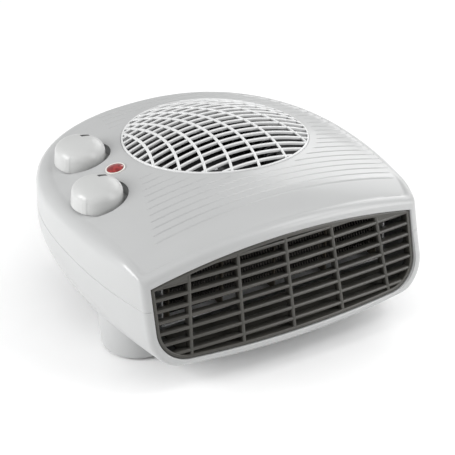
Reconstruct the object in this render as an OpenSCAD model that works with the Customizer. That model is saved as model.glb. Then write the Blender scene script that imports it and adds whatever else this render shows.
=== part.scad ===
/* [Case] */
// Overall width of the case
case_w = 242; // [238:1:250]
// Overall depth of the case
case_d = 243; // [236:1:250]
// How much narrower the front is than the case, at each side
front_in = 11.5; // [9.5:0.5:14]
// Thickness of the moulded walls
wall = 2.5; // [2:0.1:3]
// Height of the case floor above the ground
floor_z = 16.9; // [15.5:0.1:17.5]
// Height of the line where the two shells meet
part_z = 64.5; // [61:0.5:68]
// Height of the top surface at its highest point
top_z = 110.8; // [109:0.2:114]
// Distance from front to back of the highest point, from the middle
top_y = -41; // [-50:1:-30]
// Radius of the top from front to back
top_ry = 690; // [600:10:900]
// Radius of the top from side to side
top_rx = 375; // [350:5:450]
// Drop of the brow from the top down to the front edge
brow_drop = 7; // [5:0.5:9]
// Length of the brow
brow_len = 25; // [20:1:32]
// Backward lean of the front face in degrees
lean = 13; // [9:0.5:15]
// Radius of the front face seen from above
front_r = 1070; // [900:10:1500]
// Radius of the rounded edge round the outlet
edge_r = 5.5; // [4.5:0.1:6]
// Radius of the shoulder at the sides and back
shoulder_r = 11; // [7:0.5:14]
// Radius of the lower corners of the case
belly_r = 27; // [25:0.5:33]
// Radius of the same round at the back
belly_back_r = 38; // [34:0.5:39]
// Fullness of the rounded back, two is an ellipse
back_n = 2.6; // [2.3:0.1:3]
// Width of the V groove where the shells meet
seam = 0.5; // [0.3:0.1:0.8]

/* [Outlet] */
// Wall left between the outlet and each side of the front
outlet_in = 5.5; // [4:0.5:8]
// Radius of the arched top edge of the outlet
outlet_arch_r = 392; // [370:5:450]
// Radius of the lower corners of the outlet
outlet_corner_r = 24; // [20:0.5:27]
// Number of louvres
louvre_n = 8; // [6:1:8]
// Height of the lowest louvre
louvre_z = 31.8; // [30.6:0.2:33]
// Distance from one louvre to the next
louvre_p = 8.02; // [7.4:0.02:8.2]
// Thickness of a louvre
louvre_t = 3; // [2.2:0.1:3.6]
// Depth of a louvre from front to back
louvre_d = 6.8; // [5:0.2:8]
// Number of upright ribs
rib_n = 5; // [3:2:5]
// Distance from one upright rib to the next
rib_p = 38.7; // [36:0.1:40]
// Thickness of an upright rib
rib_t = 3; // [2.2:0.1:3.6]
// Width of the grille's outer frame
frame_w = 2.8; // [2.2:0.1:3.4]

/* [Inlet] */
// Distance of the inlet to the right of the middle
inlet_x = 18; // [14:0.5:20]
// Distance of the inlet behind the middle
inlet_y = 25; // [22:0.5:28]
// Radius of the hole for the inlet grille
inlet_r = 68.4; // [66:0.2:70]
// Distance from one curved bar of the grille to the next
bar_p = 6.8; // [6.2:0.1:7.4]
// Height of the dome above its rim
dome_h = 5.5; // [4:0.5:8]
// Height of the rim above the top surface
rim_h = 1.8; // [1:0.2:3]
// Depth of the bars
bar_d = 8; // [6:0.5:10]
// Thickness of the thin cross bars
bar_t = 1.5; // [1.2:0.1:2]
// Thickness of the ribs from front to back
inlet_rib_t = 2.2; // [1.8:0.1:3]
// Distance from one rib to the next
inlet_rib_p = 18.5; // [17:0.5:21]

/* [Controls] */
// Radius of a knob at its base
knob_r = 18.8; // [17:0.1:20]
// Height of a knob above the top surface
knob_h = 14.2; // [12:0.1:17]
// Radius of the rounded edge of a knob
knob_edge_r = 9; // [5:0.5:10]
// Radius of a control spindle
spindle_r = 3; // [2.5:0.1:3.5]
// Radius of the indicator lens
lens_r = 6; // [5:0.2:7]

/* [Feet] */
// Radius of a front foot at the ground
front_foot_r = 25.4; // [22:0.2:26.5]
// Radius of a rear foot at the ground
rear_foot_r = 18.5; // [16:0.5:19.5]
// Widening of a foot up to the case
foot_flare = 3; // [1:0.5:4]
// Thickness of the rubber pad below a foot
pad_t = 2; // [1.5:0.1:3]

/* [Fan] */
// Radius of the impeller
fan_r = 49; // [46:0.5:52]
// Height of the impeller blades
blade_h = 23; // [18:0.5:24]
// Number of impeller blades
blade_n = 28; // [18:1:32]
// Radius of the motor shaft
shaft_r = 2; // [1.5:0.1:2.5]
// Radius of the rotor
rotor_r = 13; // [11:0.5:14]
// Thickness of the stator stack
stack_h = 16; // [12:1:18]

/* [Heating element] */
// Outer radius of a heating coil
coil_r = 2.8; // [2.2:0.1:3.2]
// Radius of the resistance wire
wire_r = 0.35; // [0.3:0.05:0.5]
// Number of turns in one coil
coil_n = 30; // [20:1:30]
// Height of the lowest coil
coil_z = 51; // [49:0.5:53]
// Distance from one coil to the next
coil_p = 10.3; // [9:0.1:11]

/* [Hidden] */
fine = 72;
broad = 360;
snug = 0.25;
run_gap = 0.05;

// One arc's fall below its highest point
function arc_drop(d, r) = r - sqrt(r * r - d * d);
// Crown of the top surface, with the brow that rolls down to the front
brow_y = -97;
function brow(y) = brow_drop * pow(max(0, 1 - (y - brow_y) / brow_len), 2);
function crown_y(y) = top_z - arc_drop(y - top_y, top_ry) - brow(y);
function crown(x, y) = crown_y(y) - arc_drop(x, top_rx);
function slope_x(x) = -x / sqrt(top_rx * top_rx - x * x);
function slope_y(y) = -(y - top_y) / sqrt(pow(top_ry, 2) - pow(y - top_y, 2));

// Plan outline of the case at its widest height, as one right half
half_w = case_w / 2;
front_w = case_w - 2 * front_in;
outlet_w = front_w - 2 * outlet_in;
wide_y = -18;
face_z = 57;
face_y = -113;
back_d = case_d / 2 - wide_y;
side_len = wide_y - (face_y + 5);
side_r = (pow(side_len, 2) + pow(half_w - front_w / 2, 2)) / (2 * (half_w - front_w / 2));
front_c = [0, face_y + front_r];
side_c = [half_w - side_r, wide_y];
function side_x(y, r) = side_c.x + sqrt(r * r - pow(y - side_c.y, 2));
function front_y(x, r) = front_c.y - sqrt(r * r - x * x);
corner_y0 = front_y(front_w / 2, front_r - edge_r);
corner_x1 = side_x(corner_y0, side_r - edge_r);
corner_y1 = front_y(corner_x1, front_r - edge_r);
corner_c = [side_x(corner_y1, side_r - edge_r), corner_y1];
front_a = atan2(corner_c.y - front_c.y, corner_c.x);
side_a = atan2(corner_c.y - side_c.y, corner_c.x - side_c.x);
front_seg = 7;
corner_seg = 4;
side_seg = 5;
back_seg = 17;
function on_circle(c, r, a) = c + r * [cos(a), sin(a)];
function back_point(t) =
    [half_w * pow(cos(t), 2 / back_n), wide_y + back_d * pow(sin(t), 2 / back_n)];
half_line = concat(
    [for (i = [0:front_seg - 1]) on_circle(front_c, front_r, -90 + (front_a + 90) * i / front_seg)],
    [for (i = [0:corner_seg - 1])
        on_circle(corner_c, edge_r, front_a + (side_a - front_a) * i / corner_seg)],
    [for (i = [0:side_seg - 1]) on_circle(side_c, side_r, side_a * (1 - i / side_seg))],
    [for (i = [0:back_seg]) back_point(90 * i / back_seg)]
);
half_n = len(half_line) - 1;
outline = concat(half_line, [for (i = [half_n - 1:-1:1]) [-half_line[i].x, half_line[i].y]]);
ring_n = len(outline);
function around(i) = outline[(i + ring_n) % ring_n];
function normal(i) = let (d = around(i + 1) - around(i - 1)) [d.y, -d.x] / norm(d);
normals = [for (i = [0:ring_n - 1]) normal(i)];
// Half width of the outline behind its widest place
function back_x(y) = half_w * pow(1 - pow((y - wide_y) / back_d, back_n), 1 / back_n);
function half_x(y) = y > wide_y ? back_x(y) : side_x(y, side_r);

// Share of the front face's backward lean that a point of the outline takes
lean_k = tan(lean);
function front_share(y) = min(1, max(0, (wide_y - y) / (wide_y - face_y - 12)));
// Shoulder radius, small along the front and full along the sides and back
function blend(t) = let (k = min(1, max(0, t))) k * k * (3 - 2 * k);
function round_at(y) = edge_r + (shoulder_r - edge_r) * blend((y + 104) / 45);
// A point of the outline moved in by u, at height z, inside a wall of w
function wall_point(i, u, z, w) = let (p = outline[i] - normals[i] * w)
    [p.x * (1 - u / half_w),
     p.y > wide_y ? wide_y + (p.y - wide_y) * (1 - u / back_d)
                  : p.y + front_share(p.y) * (lean_k * (z - face_z)), z];

// Top of the shoulder at a point of the outline, found in two steps
function inner_round(i, w) = round_at(outline[i].y) - w;
function edge_guess(i, z) = let (r = round_at(outline[i].y), p = wall_point(i, r, z, 0))
    crown(p.x, p.y + r * front_share(outline[i].y));
edge_z = [for (i = [0:ring_n - 1]) edge_guess(i, edge_guess(i, top_z - 10))];
function shoulder_point(i, a, w) = let (
        r = inner_round(i, w),
        u = r * (1 - cos(a)),
        z = edge_z[i] - w - r * (1 - sin(a)),
        p = wall_point(i, u, z, w))
    [p.x, p.y + u * front_share(outline[i].y), z];
cap_c = [0, -10];
function cap_point(i, k, w) = let (p = shoulder_point(i, 90, w), q = cap_c + ([p.x, p.y] - cap_c) * k)
    [q.x, q.y, crown(q.x, q.y) - w];

// Underside, which rises a little towards the sides
belly_rise_r = 1132;
function belly_at(y) = belly_r + (belly_back_r - belly_r) * blend((y - wide_y + 32) / 110);
function belly_u(h, r) = h >= r ? 0 : r - sqrt(pow(r, 2) - pow(r - h, 2));
function toe_u(h) = h >= edge_r ? 0 : edge_r - sqrt(pow(edge_r, 2) - pow(edge_r - h, 2));
function belly_share(h) = max(0, 1 - h / (part_z - floor_z));
function belly_point(i, h, w) = let (
        z = floor_z + h,
        p = wall_point(i, belly_u(max(0, h - w), belly_at(outline[i].y)), z, w),
        q = [p.x, p.y + toe_u(max(0, h - w)) * front_share(outline[i].y)])
    [q.x, q.y, z + pow(q.x, 2) / (2 * belly_rise_r) * belly_share(h)];
function floor_point(i, k, w) = let (p = belly_point(i, w, w), q = cap_c + ([p.x, p.y] - cap_c) * k)
    [q.x, q.y, floor_z + w + pow(q.x, 2) / (2 * belly_rise_r) * belly_share(w)];

// Skin between rings of points, closed at both ends by a middle point
function skin(rings) = [for (k = [0:len(rings) - 2]) for (i = [0:ring_n - 1])
    let (a = k * ring_n + i, b = k * ring_n + (i + 1) % ring_n)
    each [[a, b + ring_n, b], [a, a + ring_n, b + ring_n]]];
function first_fan(c) = [for (i = [0:ring_n - 1]) [c, i, (i + 1) % ring_n]];
function last_fan(c, base) = [for (i = [0:ring_n - 1]) [c, base + (i + 1) % ring_n, base + i]];
module ring_solid(first, rings, last) {
    n = len(rings) * ring_n;
    points = concat([for (r = rings) each r], [first, last]);
    polyhedron(points, concat(skin(rings), first_fan(n), last_fan(n + 1, n - ring_n)));
}
function all_points(f) = [for (i = [0:ring_n - 1]) f(i)];

// Tongue on the lower shell and the rebate for it in the upper shell
tongue_h = 2;
tongue_w = 1.2;
cap_steps = [0.94, 0.87, 0.72, 0.48, 0.24];
inner_steps = [0.87, 0.6, 0.3];
turn_steps = [0, 22.5, 45, 67.5, 90];
belly_mid_r = (belly_r + belly_back_r) / 2;
belly_steps = [0, 0.5, 1.7, 3.6, edge_r, 10, 16, 22, belly_r, belly_mid_r, belly_back_r];
rebate_w = wall - tongue_w;

module upper_skin() {
    outer = concat(
        [all_points(function (i) wall_point(i, 0, part_z, seam))],
        [all_points(function (i) wall_point(i, 0, part_z + seam, 0))],
        [for (a = turn_steps) all_points(function (i) shoulder_point(i, a, 0))],
        [for (k = cap_steps) all_points(function (i) cap_point(i, k, 0))]);
    inner = concat(
        [all_points(function (i) wall_point(i, 0, part_z, rebate_w - 0.1))],
        [all_points(function (i) wall_point(i, 0, part_z + tongue_h + 0.2, rebate_w - 0.1))],
        [all_points(function (i) wall_point(i, 0, part_z + tongue_h + 0.2, wall))],
        [for (a = turn_steps) all_points(function (i) shoulder_point(i, a, wall))],
        [for (k = inner_steps) all_points(function (i) cap_point(i, k, wall))]);
    low_to_high = concat([for (k = [len(inner) - 1:-1:0]) inner[k]], outer);
    ring_solid([cap_c.x, cap_c.y, crown(cap_c.x, cap_c.y) - wall], low_to_high,
               [cap_c.x, cap_c.y, crown(cap_c.x, cap_c.y)]);
}

module lower_skin() {
    outer = concat(
        [for (k = [0.35, 0.7]) all_points(function (i) floor_point(i, k, 0))],
        [for (h = belly_steps) all_points(function (i) belly_point(i, h, 0))],
        [all_points(function (i) wall_point(i, 0, part_z - seam, 0))],
        [all_points(function (i) wall_point(i, 0, part_z, seam))]);
    inner = concat(
        [all_points(function (i) wall_point(i, 0, part_z, rebate_w + 0.1))],
        [all_points(function (i) wall_point(i, 0, part_z + tongue_h, rebate_w + 0.1))],
        [all_points(function (i) wall_point(i, 0, part_z + tongue_h, wall))],
        [for (k = [len(belly_steps) - 1:-1:0])
            all_points(function (i) belly_point(i, belly_steps[k] + wall, wall))],
        [for (k = [0.7, 0.35]) all_points(function (i) floor_point(i, k, wall))]);
    ring_solid([cap_c.x, cap_c.y, floor_z], concat(outer, inner),
               [cap_c.x, cap_c.y, floor_z + wall]);
}

// Crown as one solid of revolution about a line from front to back
crown_ys = [for (y = [-124:4:124]) y];
module crown_solid(drop, low) {
    points = [for (y = crown_ys) [crown_y(y) - (top_z - top_rx) - drop, y]];
    foot = low - (top_z - top_rx);
    sweep_a = 30;
    translate([0, 0, top_z - top_rx])
        rotate([-90, 0, 0]) rotate([0, 0, -90 - sweep_a])
            rotate_extrude(angle = 2 * sweep_a, $fn = broad)
                polygon(concat([[foot, crown_ys[0]]], points, [[foot, crown_ys[len(crown_ys) - 1]]]));
}

// Frame of the front face, where Z runs up the leaning face and Y into the case
module on_face() translate([0, face_y, face_z]) rotate([-lean, 0, 0]) children();
function face_v(z) = (z - face_z) / cos(lean);
outlet_top = 95.8;
outlet_bottom = floor_z + 6.5;
module outlet_shape(grow) {
    hw = outlet_w / 2 + grow;
    rc = outlet_corner_r + grow;
    v1 = face_v(outlet_top) + grow;
    v0 = face_v(outlet_bottom) - grow;
    rise = pow(hw - rc, 2) / (2 * belly_rise_r);
    intersection() {
        translate([0, v1 - outlet_arch_r]) circle(outlet_arch_r, $fn = broad);
        translate([0, v0 + belly_rise_r]) circle(belly_rise_r, $fn = broad);
        union() {
            translate([-hw, v0 + rc + rise]) square([2 * hw, v1 - v0]);
            translate([-(hw - rc), v0]) square([2 * (hw - rc), v1 - v0]);
            for (s = [-1, 1]) translate([s * (hw - rc), v0 + rc + rise]) circle(rc, $fn = fine);
        }
    }
}
module face_prism(y0, y1) translate([0, y1, 0]) rotate([90, 0, 0]) linear_extrude(y1 - y0) children();

// Places of the controls and of the screws
knob_pos = [[44.7 - half_w, 55.7], [27.8 - half_w, -4.3]];
knob_sink = 2.4;
pocket_gap = 3.2;
function knob_base(p) = crown(p.x, p.y) - knob_sink;
pocket_r = knob_r + pocket_gap;
pocket_floor = 2;
// The lamp stands between the thermostat's knob and the inlet
lamp_pos = [(knob_pos[1].x + inlet_x) / 2 - 29.1, inlet_y - 5.9];
module at_lamp() translate([lamp_pos.x, lamp_pos.y, crown(lamp_pos.x, lamp_pos.y)])
    rotate([atan(slope_y(lamp_pos.y)), -atan(slope_x(lamp_pos.x)), 0]) children();
bezel_r = lens_r + 1.2;
front_foot = [half_w - 35, -46];
rear_foot = [half_w - 54, 75];
function both(p) = [p, [-p.x, p.y]];
screw_pos = concat(both(front_foot + [12, 4]), both(rear_foot + [3, 4]));
post_r = 4.6;
post_low = 29;
screw_hole_r = 1.3;
screw_way_r = 4;

// Straight tube along Z
module tube(ro, ri, h) difference() {
    cylinder(r = ro, h = h, $fn = fine);
    translate([0, 0, -1]) cylinder(r = ri, h = h + 2, $fn = fine);
}

collar_z = 89.8;
collar_w = 2.6;
ledge_t = 1.2;
ledge_r = inlet_r - 2.5;
spindle_way_r = 4.2;
module upper_shell() color([0.84, 0.84, 0.83]) difference() {
    union() {
        upper_skin();
        intersection() {
            crown_solid(1, 10);
            union() {
                translate([inlet_x, inlet_y, collar_z])
                    tube(inlet_r + snug + collar_w, ledge_r, top_z - collar_z);
                for (p = knob_pos) translate([p.x, p.y, knob_base(p) - pocket_floor])
                    cylinder(r = pocket_r + 1.6, h = knob_sink + 4, $fn = fine);
                for (p = screw_pos) translate([p.x, p.y, post_low])
                    cylinder(r = post_r, h = top_z - post_low, $fn = fine);
            }
            translate([0, 0, post_low]) linear_extrude(top_z)
                polygon([for (i = [0:ring_n - 1]) outline[i] - normals[i] * 9]);
        }
    }
    on_face() face_prism(-20, 9) outlet_shape(0);
    translate([inlet_x, inlet_y, collar_z + ledge_t]) cylinder(r = inlet_r + snug, h = 40, $fn = fine);
    for (p = knob_pos) translate([p.x, p.y, knob_base(p)]) {
        cylinder(r = pocket_r, h = 20, $fn = fine);
        translate([0, 0, -10]) cylinder(r = spindle_way_r, h = 20, $fn = fine);
    }
    at_lamp() translate([0, 0, -8]) cylinder(r = lens_r + snug, h = 12, $fn = fine);
    for (p = screw_pos) translate([p.x, p.y, post_low - 1])
        cylinder(r = screw_hole_r, h = 16, $fn = fine);
}

pad_sink = 1;
foot_z = pad_t - pad_sink;
foot_top = 34;
foot_round = 2.5;
module foot(r) rotate_extrude($fn = fine) polygon(concat(
    [[0, foot_z]],
    [for (a = [-90:15:0]) [r - foot_round + foot_round * cos(a), foot_z + foot_round * (1 + sin(a))]],
    [[r + foot_flare, foot_top], [0, foot_top]]));
module foot_hollow(r) rotate_extrude($fn = fine) polygon(
    [[0, foot_z + 4], [r - wall - foot_round, foot_z + 4], [r - wall, foot_z + 6],
     [r - wall + foot_flare, foot_top + 0.1], [0, foot_top + 0.1]]);
module each_foot() {
    for (s = [-1, 1]) {
        translate([s * front_foot.x, front_foot.y, 0]) children(0);
        translate([s * rear_foot.x, rear_foot.y, 0]) children(1);
    }
}
pad_pos = concat(both(front_foot - [6, 3]), both(rear_foot - [7.5, 7]));
function pad_r(i) = i < 2 ? 11 : 7;
gland_x = -45;
gland_z = 56;
gland_r = 5;
gland_lip = 1.6;
gland_room = 1.1;
gland_rest = 1 - pow(abs(gland_x) / half_w, back_n);
gland_a = atan(back_d / half_w * pow(abs(gland_x) / half_w, back_n - 1)
    * pow(gland_rest, 1 / back_n - 1));
module at_gland() translate([gland_x, wide_y + back_d * pow(gland_rest, 1 / back_n), gland_z])
    rotate([0, 0, gland_a]) rotate([-90, 0, 0]) children();
boss_top = post_low - snug;
duct_post = [for (d = [[-54, -7], [54, -7], [-48, -41], [48, -41]]) [inlet_x, inlet_y] + d];
module lower_shell() color([0.8, 0.8, 0.79]) difference() {
    union() {
        lower_skin();
        difference() {
            each_foot() {
                foot(front_foot_r);
                foot(rear_foot_r);
            }
            each_foot() {
                foot_hollow(front_foot_r);
                foot_hollow(rear_foot_r);
            }
            translate([0, 0, duct_low - 0.6]) linear_extrude(30)
                polygon([for (i = [0:ring_n - 1]) outline[i] - normals[i] * 16]);
        }
        for (p = screw_pos) translate([p.x, p.y, foot_z + 2])
            cylinder(r = 6, h = boss_top - foot_z - 2, $fn = fine);
        for (p = duct_post) translate([p.x, p.y, floor_z + 1])
            cylinder(r = 3.6, h = duct_z - floor_z - 1 - snug, $fn = fine);
    }
    on_face() face_prism(-20, 9) outlet_shape(0);
    for (p = screw_pos) translate([p.x, p.y, 0]) {
        cylinder(r = screw_way_r, h = boss_top - 4, $fn = fine);
        cylinder(r = 2, h = 40, $fn = fine);
    }
    for (i = [0:3]) translate([pad_pos[i].x, pad_pos[i].y, -1])
        cylinder(r = pad_r(i) + snug, h = 1 + foot_z + pad_sink, $fn = fine);
    at_gland() translate([0, 0, -10]) cylinder(r = gland_r + snug, h = 20, $fn = fine);
    for (p = duct_post) translate([p.x, p.y, duct_z - 12])
        cylinder(r = screw_hole_r, h = 20, $fn = fine);
}

// Inlet grille, whose bars and ribs follow a dome on top of the crown
crown_kx = 1 / (2 * top_rx);
crown_ky = 1 / (2 * top_ry);
dome_k = dome_h / (inlet_r * inlet_r);
bar_r = 1 / (2 * (crown_kx + dome_k));
rib_r = 1 / (2 * (crown_ky + dome_k));
bar_x = inlet_x * dome_k / (crown_kx + dome_k);
rib_y = (top_y * crown_ky + inlet_y * dome_k) / (crown_ky + dome_k);
function dome_z(x, y) = crown(x, y) + rim_h + dome_h
    - dome_k * (pow(x - inlet_x, 2) + pow(y - inlet_y, 2));
dome_top = dome_z(bar_x, rib_y);
function bar_top(y) = dome_top - arc_drop(y - rib_y, rib_r);
function rib_top(x) = dome_top - arc_drop(x - bar_x, bar_r);
module arch_plate(r, deep, thick) rotate([90, 0, 0]) translate([0, 0, -thick / 2])
    intersection() {
        tube(r, r - deep, thick);
        translate([-inlet_r * 1.3, r - 45, -1]) cube([inlet_r * 2.6, 60, thick + 2]);
    }
bar_row = [for (k = [-9:9]) k];
rib_row = [for (k = [-3:3]) k];
bar_mid = inlet_y - 0.3;
inlet_rib_x = 16;
rim_w = 2.6;
module inlet_grille() color([0.88, 0.88, 0.87]) {
    intersection() {
        crown_solid(-rim_h, 80);
        translate([inlet_x, inlet_y, collar_z + ledge_t]) tube(inlet_r, inlet_r - rim_w, 40);
    }
    intersection() {
        translate([inlet_x, inlet_y, collar_z + ledge_t])
            cylinder(r = inlet_r - rim_w + 0.4, h = 60, $fn = fine);
        union() {
            for (k = bar_row) let (y = bar_mid + k * bar_p)
                translate([bar_x, y, bar_top(y) - bar_r]) arch_plate(bar_r, bar_d, bar_t);
            for (k = rib_row) let (x = inlet_rib_x + k * inlet_rib_p)
                translate([x, rib_y, rib_top(x) - rib_r]) rotate([0, 0, 90])
                    arch_plate(rib_r, bar_d - 1, inlet_rib_t);
        }
    }
}

// Outlet grille, a bulging frame with louvres, upright ribs and filled corners
grille_recess = 1;
grille_d = louvre_d + 0.6;
module bulge_band(y0, y1) difference() {
    translate([0, front_r, -60]) cylinder(r = front_r - y0, h = 120, $fn = broad);
    translate([0, front_r, -61]) cylinder(r = front_r - y1, h = 122, $fn = broad);
}
function louvre_v(j) = face_v(louvre_z + j * louvre_p);
rib_fan = 2.5;
module outlet_grille() color([0.16, 0.16, 0.17]) on_face() {
    intersection() {
        bulge_band(grille_recess, grille_recess + grille_d);
        face_prism(0, 16) difference() {
            outlet_shape(-snug);
            outlet_shape(-snug - frame_w);
        }
    }
    intersection() {
        bulge_band(grille_recess + 0.3, grille_recess + louvre_d);
        face_prism(0, 16) outlet_shape(-snug - frame_w / 2);
        union() {
            for (j = [0:louvre_n - 1]) translate([-outlet_w / 2, 0, louvre_v(j) - louvre_t / 2])
                cube([outlet_w, 20, louvre_t]);
            for (i = [-(rib_n - 1) / 2:(rib_n - 1) / 2]) translate([i * rib_p, 0, 0])
                rotate([0, -rib_fan * i, 0]) translate([-rib_t / 2, 0, -50]) cube([rib_t, 20, 100]);
        }
    }
    intersection() {
        bulge_band(grille_recess + 1, grille_recess + 3);
        face_prism(0, 16) outlet_shape(-snug - frame_w / 2);
        for (s = [-1, 1]) {
            translate([s > 0 ? rib_p : -2 * rib_p, 0, louvre_v(louvre_n - 1)])
                cube([rib_p, 20, 20]);
            translate([s > 0 ? 2 * rib_p : -outlet_w / 2, 0, louvre_v(louvre_n - 2)])
                cube([outlet_w / 2 - 2 * rib_p, 20, 30]);
        }
    }
}

// Knob, a turned cap with a hub for the spindle and a pointer slot
knob_lift = 0.4;
knob_top = knob_sink + knob_h;
slot_l = 7.3;
slot_w = 2;
slot_pos = [7.5, 9.5, 10];
module knob(p) translate([p.x, p.y, knob_base(p)]) difference() {
    union() {
        rotate_extrude($fn = fine) polygon(concat(
            [[knob_r - 2.2, knob_lift], [knob_r, knob_lift]],
            [for (a = [0:15:90]) [knob_r - 0.7 - knob_edge_r * (1 - cos(a)),
                                  knob_top - 1 - knob_edge_r * (1 - sin(a))]],
            [[0, knob_top], [0, knob_top - 2.2],
             [knob_r - 3 - knob_edge_r, knob_top - 3.2], [knob_r - 3, knob_top - 2.5 - knob_edge_r]]));
        translate([0, 0, knob_lift + 2]) cylinder(r = 6, h = knob_top - knob_lift - 4, $fn = fine);
    }
    translate([0, 0, -1]) cylinder(r = spindle_r + run_gap, h = knob_top - 3, $fn = fine);
    translate([slot_pos.x, slot_pos.y, knob_top - 3.4]) rotate([0, 0, slot_pos.z])
        translate([-slot_l / 2, -slot_w / 2, 0]) cube([slot_l, slot_w, 5]);
}
module thermostat_knob() color([0.86, 0.86, 0.85]) knob(knob_pos[1]);
module selector_knob() color([0.86, 0.86, 0.85]) knob(knob_pos[0]);

// Spindles, held in the bodies of the two controls
control_z = 6;
bush_h = 5;
body_h = 13;
module spindle(p) translate([p.x, p.y, knob_base(p) - control_z - body_h + 2])
    cylinder(r = spindle_r, h = control_z + body_h + knob_top - 6.5, $fn = fine);
module thermostat_spindle() color("gainsboro") spindle(knob_pos[1]);
module selector_spindle() color("gainsboro") spindle(knob_pos[0]);
module control_body(p) translate([p.x, p.y, knob_base(p)]) difference() {
    union() {
        translate([0, 0, -control_z - body_h]) children();
        translate([0, 0, -control_z - 0.5])
            cylinder(r = spindle_way_r + 2, h = control_z - pocket_floor + 0.5 - snug, $fn = fine);
    }
    translate([0, 0, -control_z - body_h + 1.9])
        cylinder(r = spindle_r + run_gap, h = 40, $fn = fine);
}
module thermostat_body() color([0.9, 0.88, 0.8]) control_body(knob_pos[1])
    translate([-14, -11, 0]) cube([28, 22, body_h]);
module selector_switch() color([0.93, 0.93, 0.9]) control_body(knob_pos[0])
    cylinder(r = 15.5, h = body_h, $fn = fine);

// Indicator: bezel, domed lens and the glow tube below it
module lamp_bezel() color([0.93, 0.91, 0.86]) at_lamp() translate([0, 0, 0.02])
    tube(bezel_r, lens_r + snug, 0.7);
lens_ball = 13;
module lamp_lens() color([0.75, 0.05, 0.05]) at_lamp() difference() {
    intersection() {
        translate([0, 0, 2.4 - lens_ball]) sphere(lens_ball, $fn = fine);
        translate([0, 0, -5]) cylinder(r = lens_r, h = 9, $fn = fine);
    }
    translate([0, 0, -6]) cylinder(r = lens_r - 1.3, h = 6, $fn = fine);
}
module neon_lamp() color([0.95, 0.8, 0.7]) at_lamp() {
    translate([0, 0, -14]) cylinder(r = lens_r - 1.3 - 0.2, h = 9.5, $fn = fine);
    translate([0, 0, -9]) cylinder(r = 2.8, h = 8.8, $fn = fine);
}

// Air duct: a round scroll behind, opening out to the element in front
duct_z = 57;
duct_top = 87.2;
duct_low = 37;
duct_t = 1.8;
duct_back_r = 66;
duct_back_y = inlet_y + duct_back_r + 4;
duct_front_x = outlet_w / 2 - 12;
duct_front_y = -78;
slope_y0 = -30;
slope_y1 = -64;
fan_c = [inlet_x, inlet_y];
module duct_plan(cut) difference() {
    union() {
        translate(fan_c) circle(duct_back_r - cut, $fn = fine);
        polygon([[fan_c.x - duct_back_r + cut, fan_c.y], [-duct_front_x + cut, -62],
                 [-duct_front_x + cut, duct_front_y], [duct_front_x - cut, duct_front_y],
                 [duct_front_x - cut, -62], [fan_c.x + duct_back_r - cut, fan_c.y]]);
    }
    translate([-half_w, duct_front_y - 40]) square([2 * half_w, 40]);
}
module side_prism() rotate([90, 0, 90]) translate([0, 0, -half_w]) linear_extrude(2 * half_w)
    children();
module air_duct() color([0.55, 0.55, 0.55]) difference() {
    intersection() {
        translate([0, 0, 20]) linear_extrude(duct_top - 20) duct_plan(0);
        side_prism() polygon([[duct_back_y, duct_z], [slope_y0, duct_z], [slope_y1, duct_low],
            [duct_front_y - 1, duct_low], [duct_front_y - 1, duct_top], [duct_back_y, duct_top]]);
    }
    intersection() {
        translate([0, 0, 20]) linear_extrude(duct_top - 19) duct_plan(duct_t);
        side_prism() polygon([[duct_back_y, duct_z + duct_t], [slope_y0 + 1, duct_z + duct_t],
            [slope_y1 + 1, duct_low + duct_t], [duct_front_y - 2, duct_low + duct_t],
            [duct_front_y - 2, duct_top + 1], [duct_back_y, duct_top + 1]]);
    }
    translate([fan_c.x, fan_c.y, duct_z - 1]) cylinder(r = 8, h = 5, $fn = fine);
    for (p = duct_post) translate([p.x, p.y, duct_z - 1]) cylinder(r = 2, h = 5, $fn = fine);
    for (s = [-1, 1]) translate([fan_c.x + s * bolt_x, fan_c.y, duct_z - 1])
        cylinder(r = 2, h = 5, $fn = fine);
}
eye_r = fan_r - 4;
cover_t = 1.8;
module duct_cover() color([0.5, 0.5, 0.5]) difference() {
    union() {
        translate([0, 0, duct_top]) linear_extrude(cover_t) duct_plan(0);
        translate([fan_c.x, fan_c.y, duct_top]) cylinder(r = eye_r + 3.5, h = cover_t + 0.7, $fn = fine);
    }
    translate([fan_c.x, fan_c.y, 0]) rotate_extrude($fn = fine) polygon(concat(
        [[0, duct_top - 1], [eye_r, duct_top - 1]],
        [for (a = [0:15:90]) [eye_r + 3 * (1 - cos(a)), duct_top + cover_t + 1 - 2.5 * (1 - sin(a))]],
        [[0, duct_top + cover_t + 1]]));
}

// Fan, turned as one by the motor shaft
fan_z = duct_z + duct_t + 2;
blade_w = 11;
module blade() translate([fan_r - blade_w, 0, 0]) rotate([0, 0, 28])
    translate([0, -0.5, 0]) cube([blade_w, 1, blade_h]);
module impeller() color([0.3, 0.3, 0.32]) translate([fan_c.x, fan_c.y, fan_z]) difference() {
    union() {
        cylinder(r = fan_r, h = 1.6, $fn = fine);
        cylinder(r = 7, h = 13, $fn = fine);
        for (i = [0:blade_n - 1]) rotate([0, 0, 360 * i / blade_n]) translate([0, 0, 1]) blade();
        translate([0, 0, blade_h]) tube(fan_r + 0.5, fan_r - 4, 1.6);
    }
    translate([0, 0, -1]) cylinder(r = shaft_r + run_gap, h = 30, $fn = fine);
}
motor_low = 30;
stack_z = 36;
plate_w = 58;
plate_front = 38;
plate_back = 18;
bolt_x = 22;
coil_w = 29.2;
winding_y = -42.4;
winding_d = 25;
core_y = -38.2;
core_d = 12.4;
window_w = 30;
window_y = -26;
window_d = 9;
shaft_top = fan_z + 14;
module motor_shaft() color("lightgray") translate([fan_c.x, fan_c.y, motor_low - 1])
    cylinder(r = shaft_r, h = shaft_top - motor_low + 1, $fn = fine);
module motor_rotor() color("darkgray") translate([fan_c.x, fan_c.y, stack_z - 1]) difference() {
    cylinder(r = rotor_r - 0.4, h = stack_h + 2, $fn = fine);
    translate([0, 0, -1]) cylinder(r = shaft_r + run_gap, h = 40, $fn = fine);
}
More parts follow.
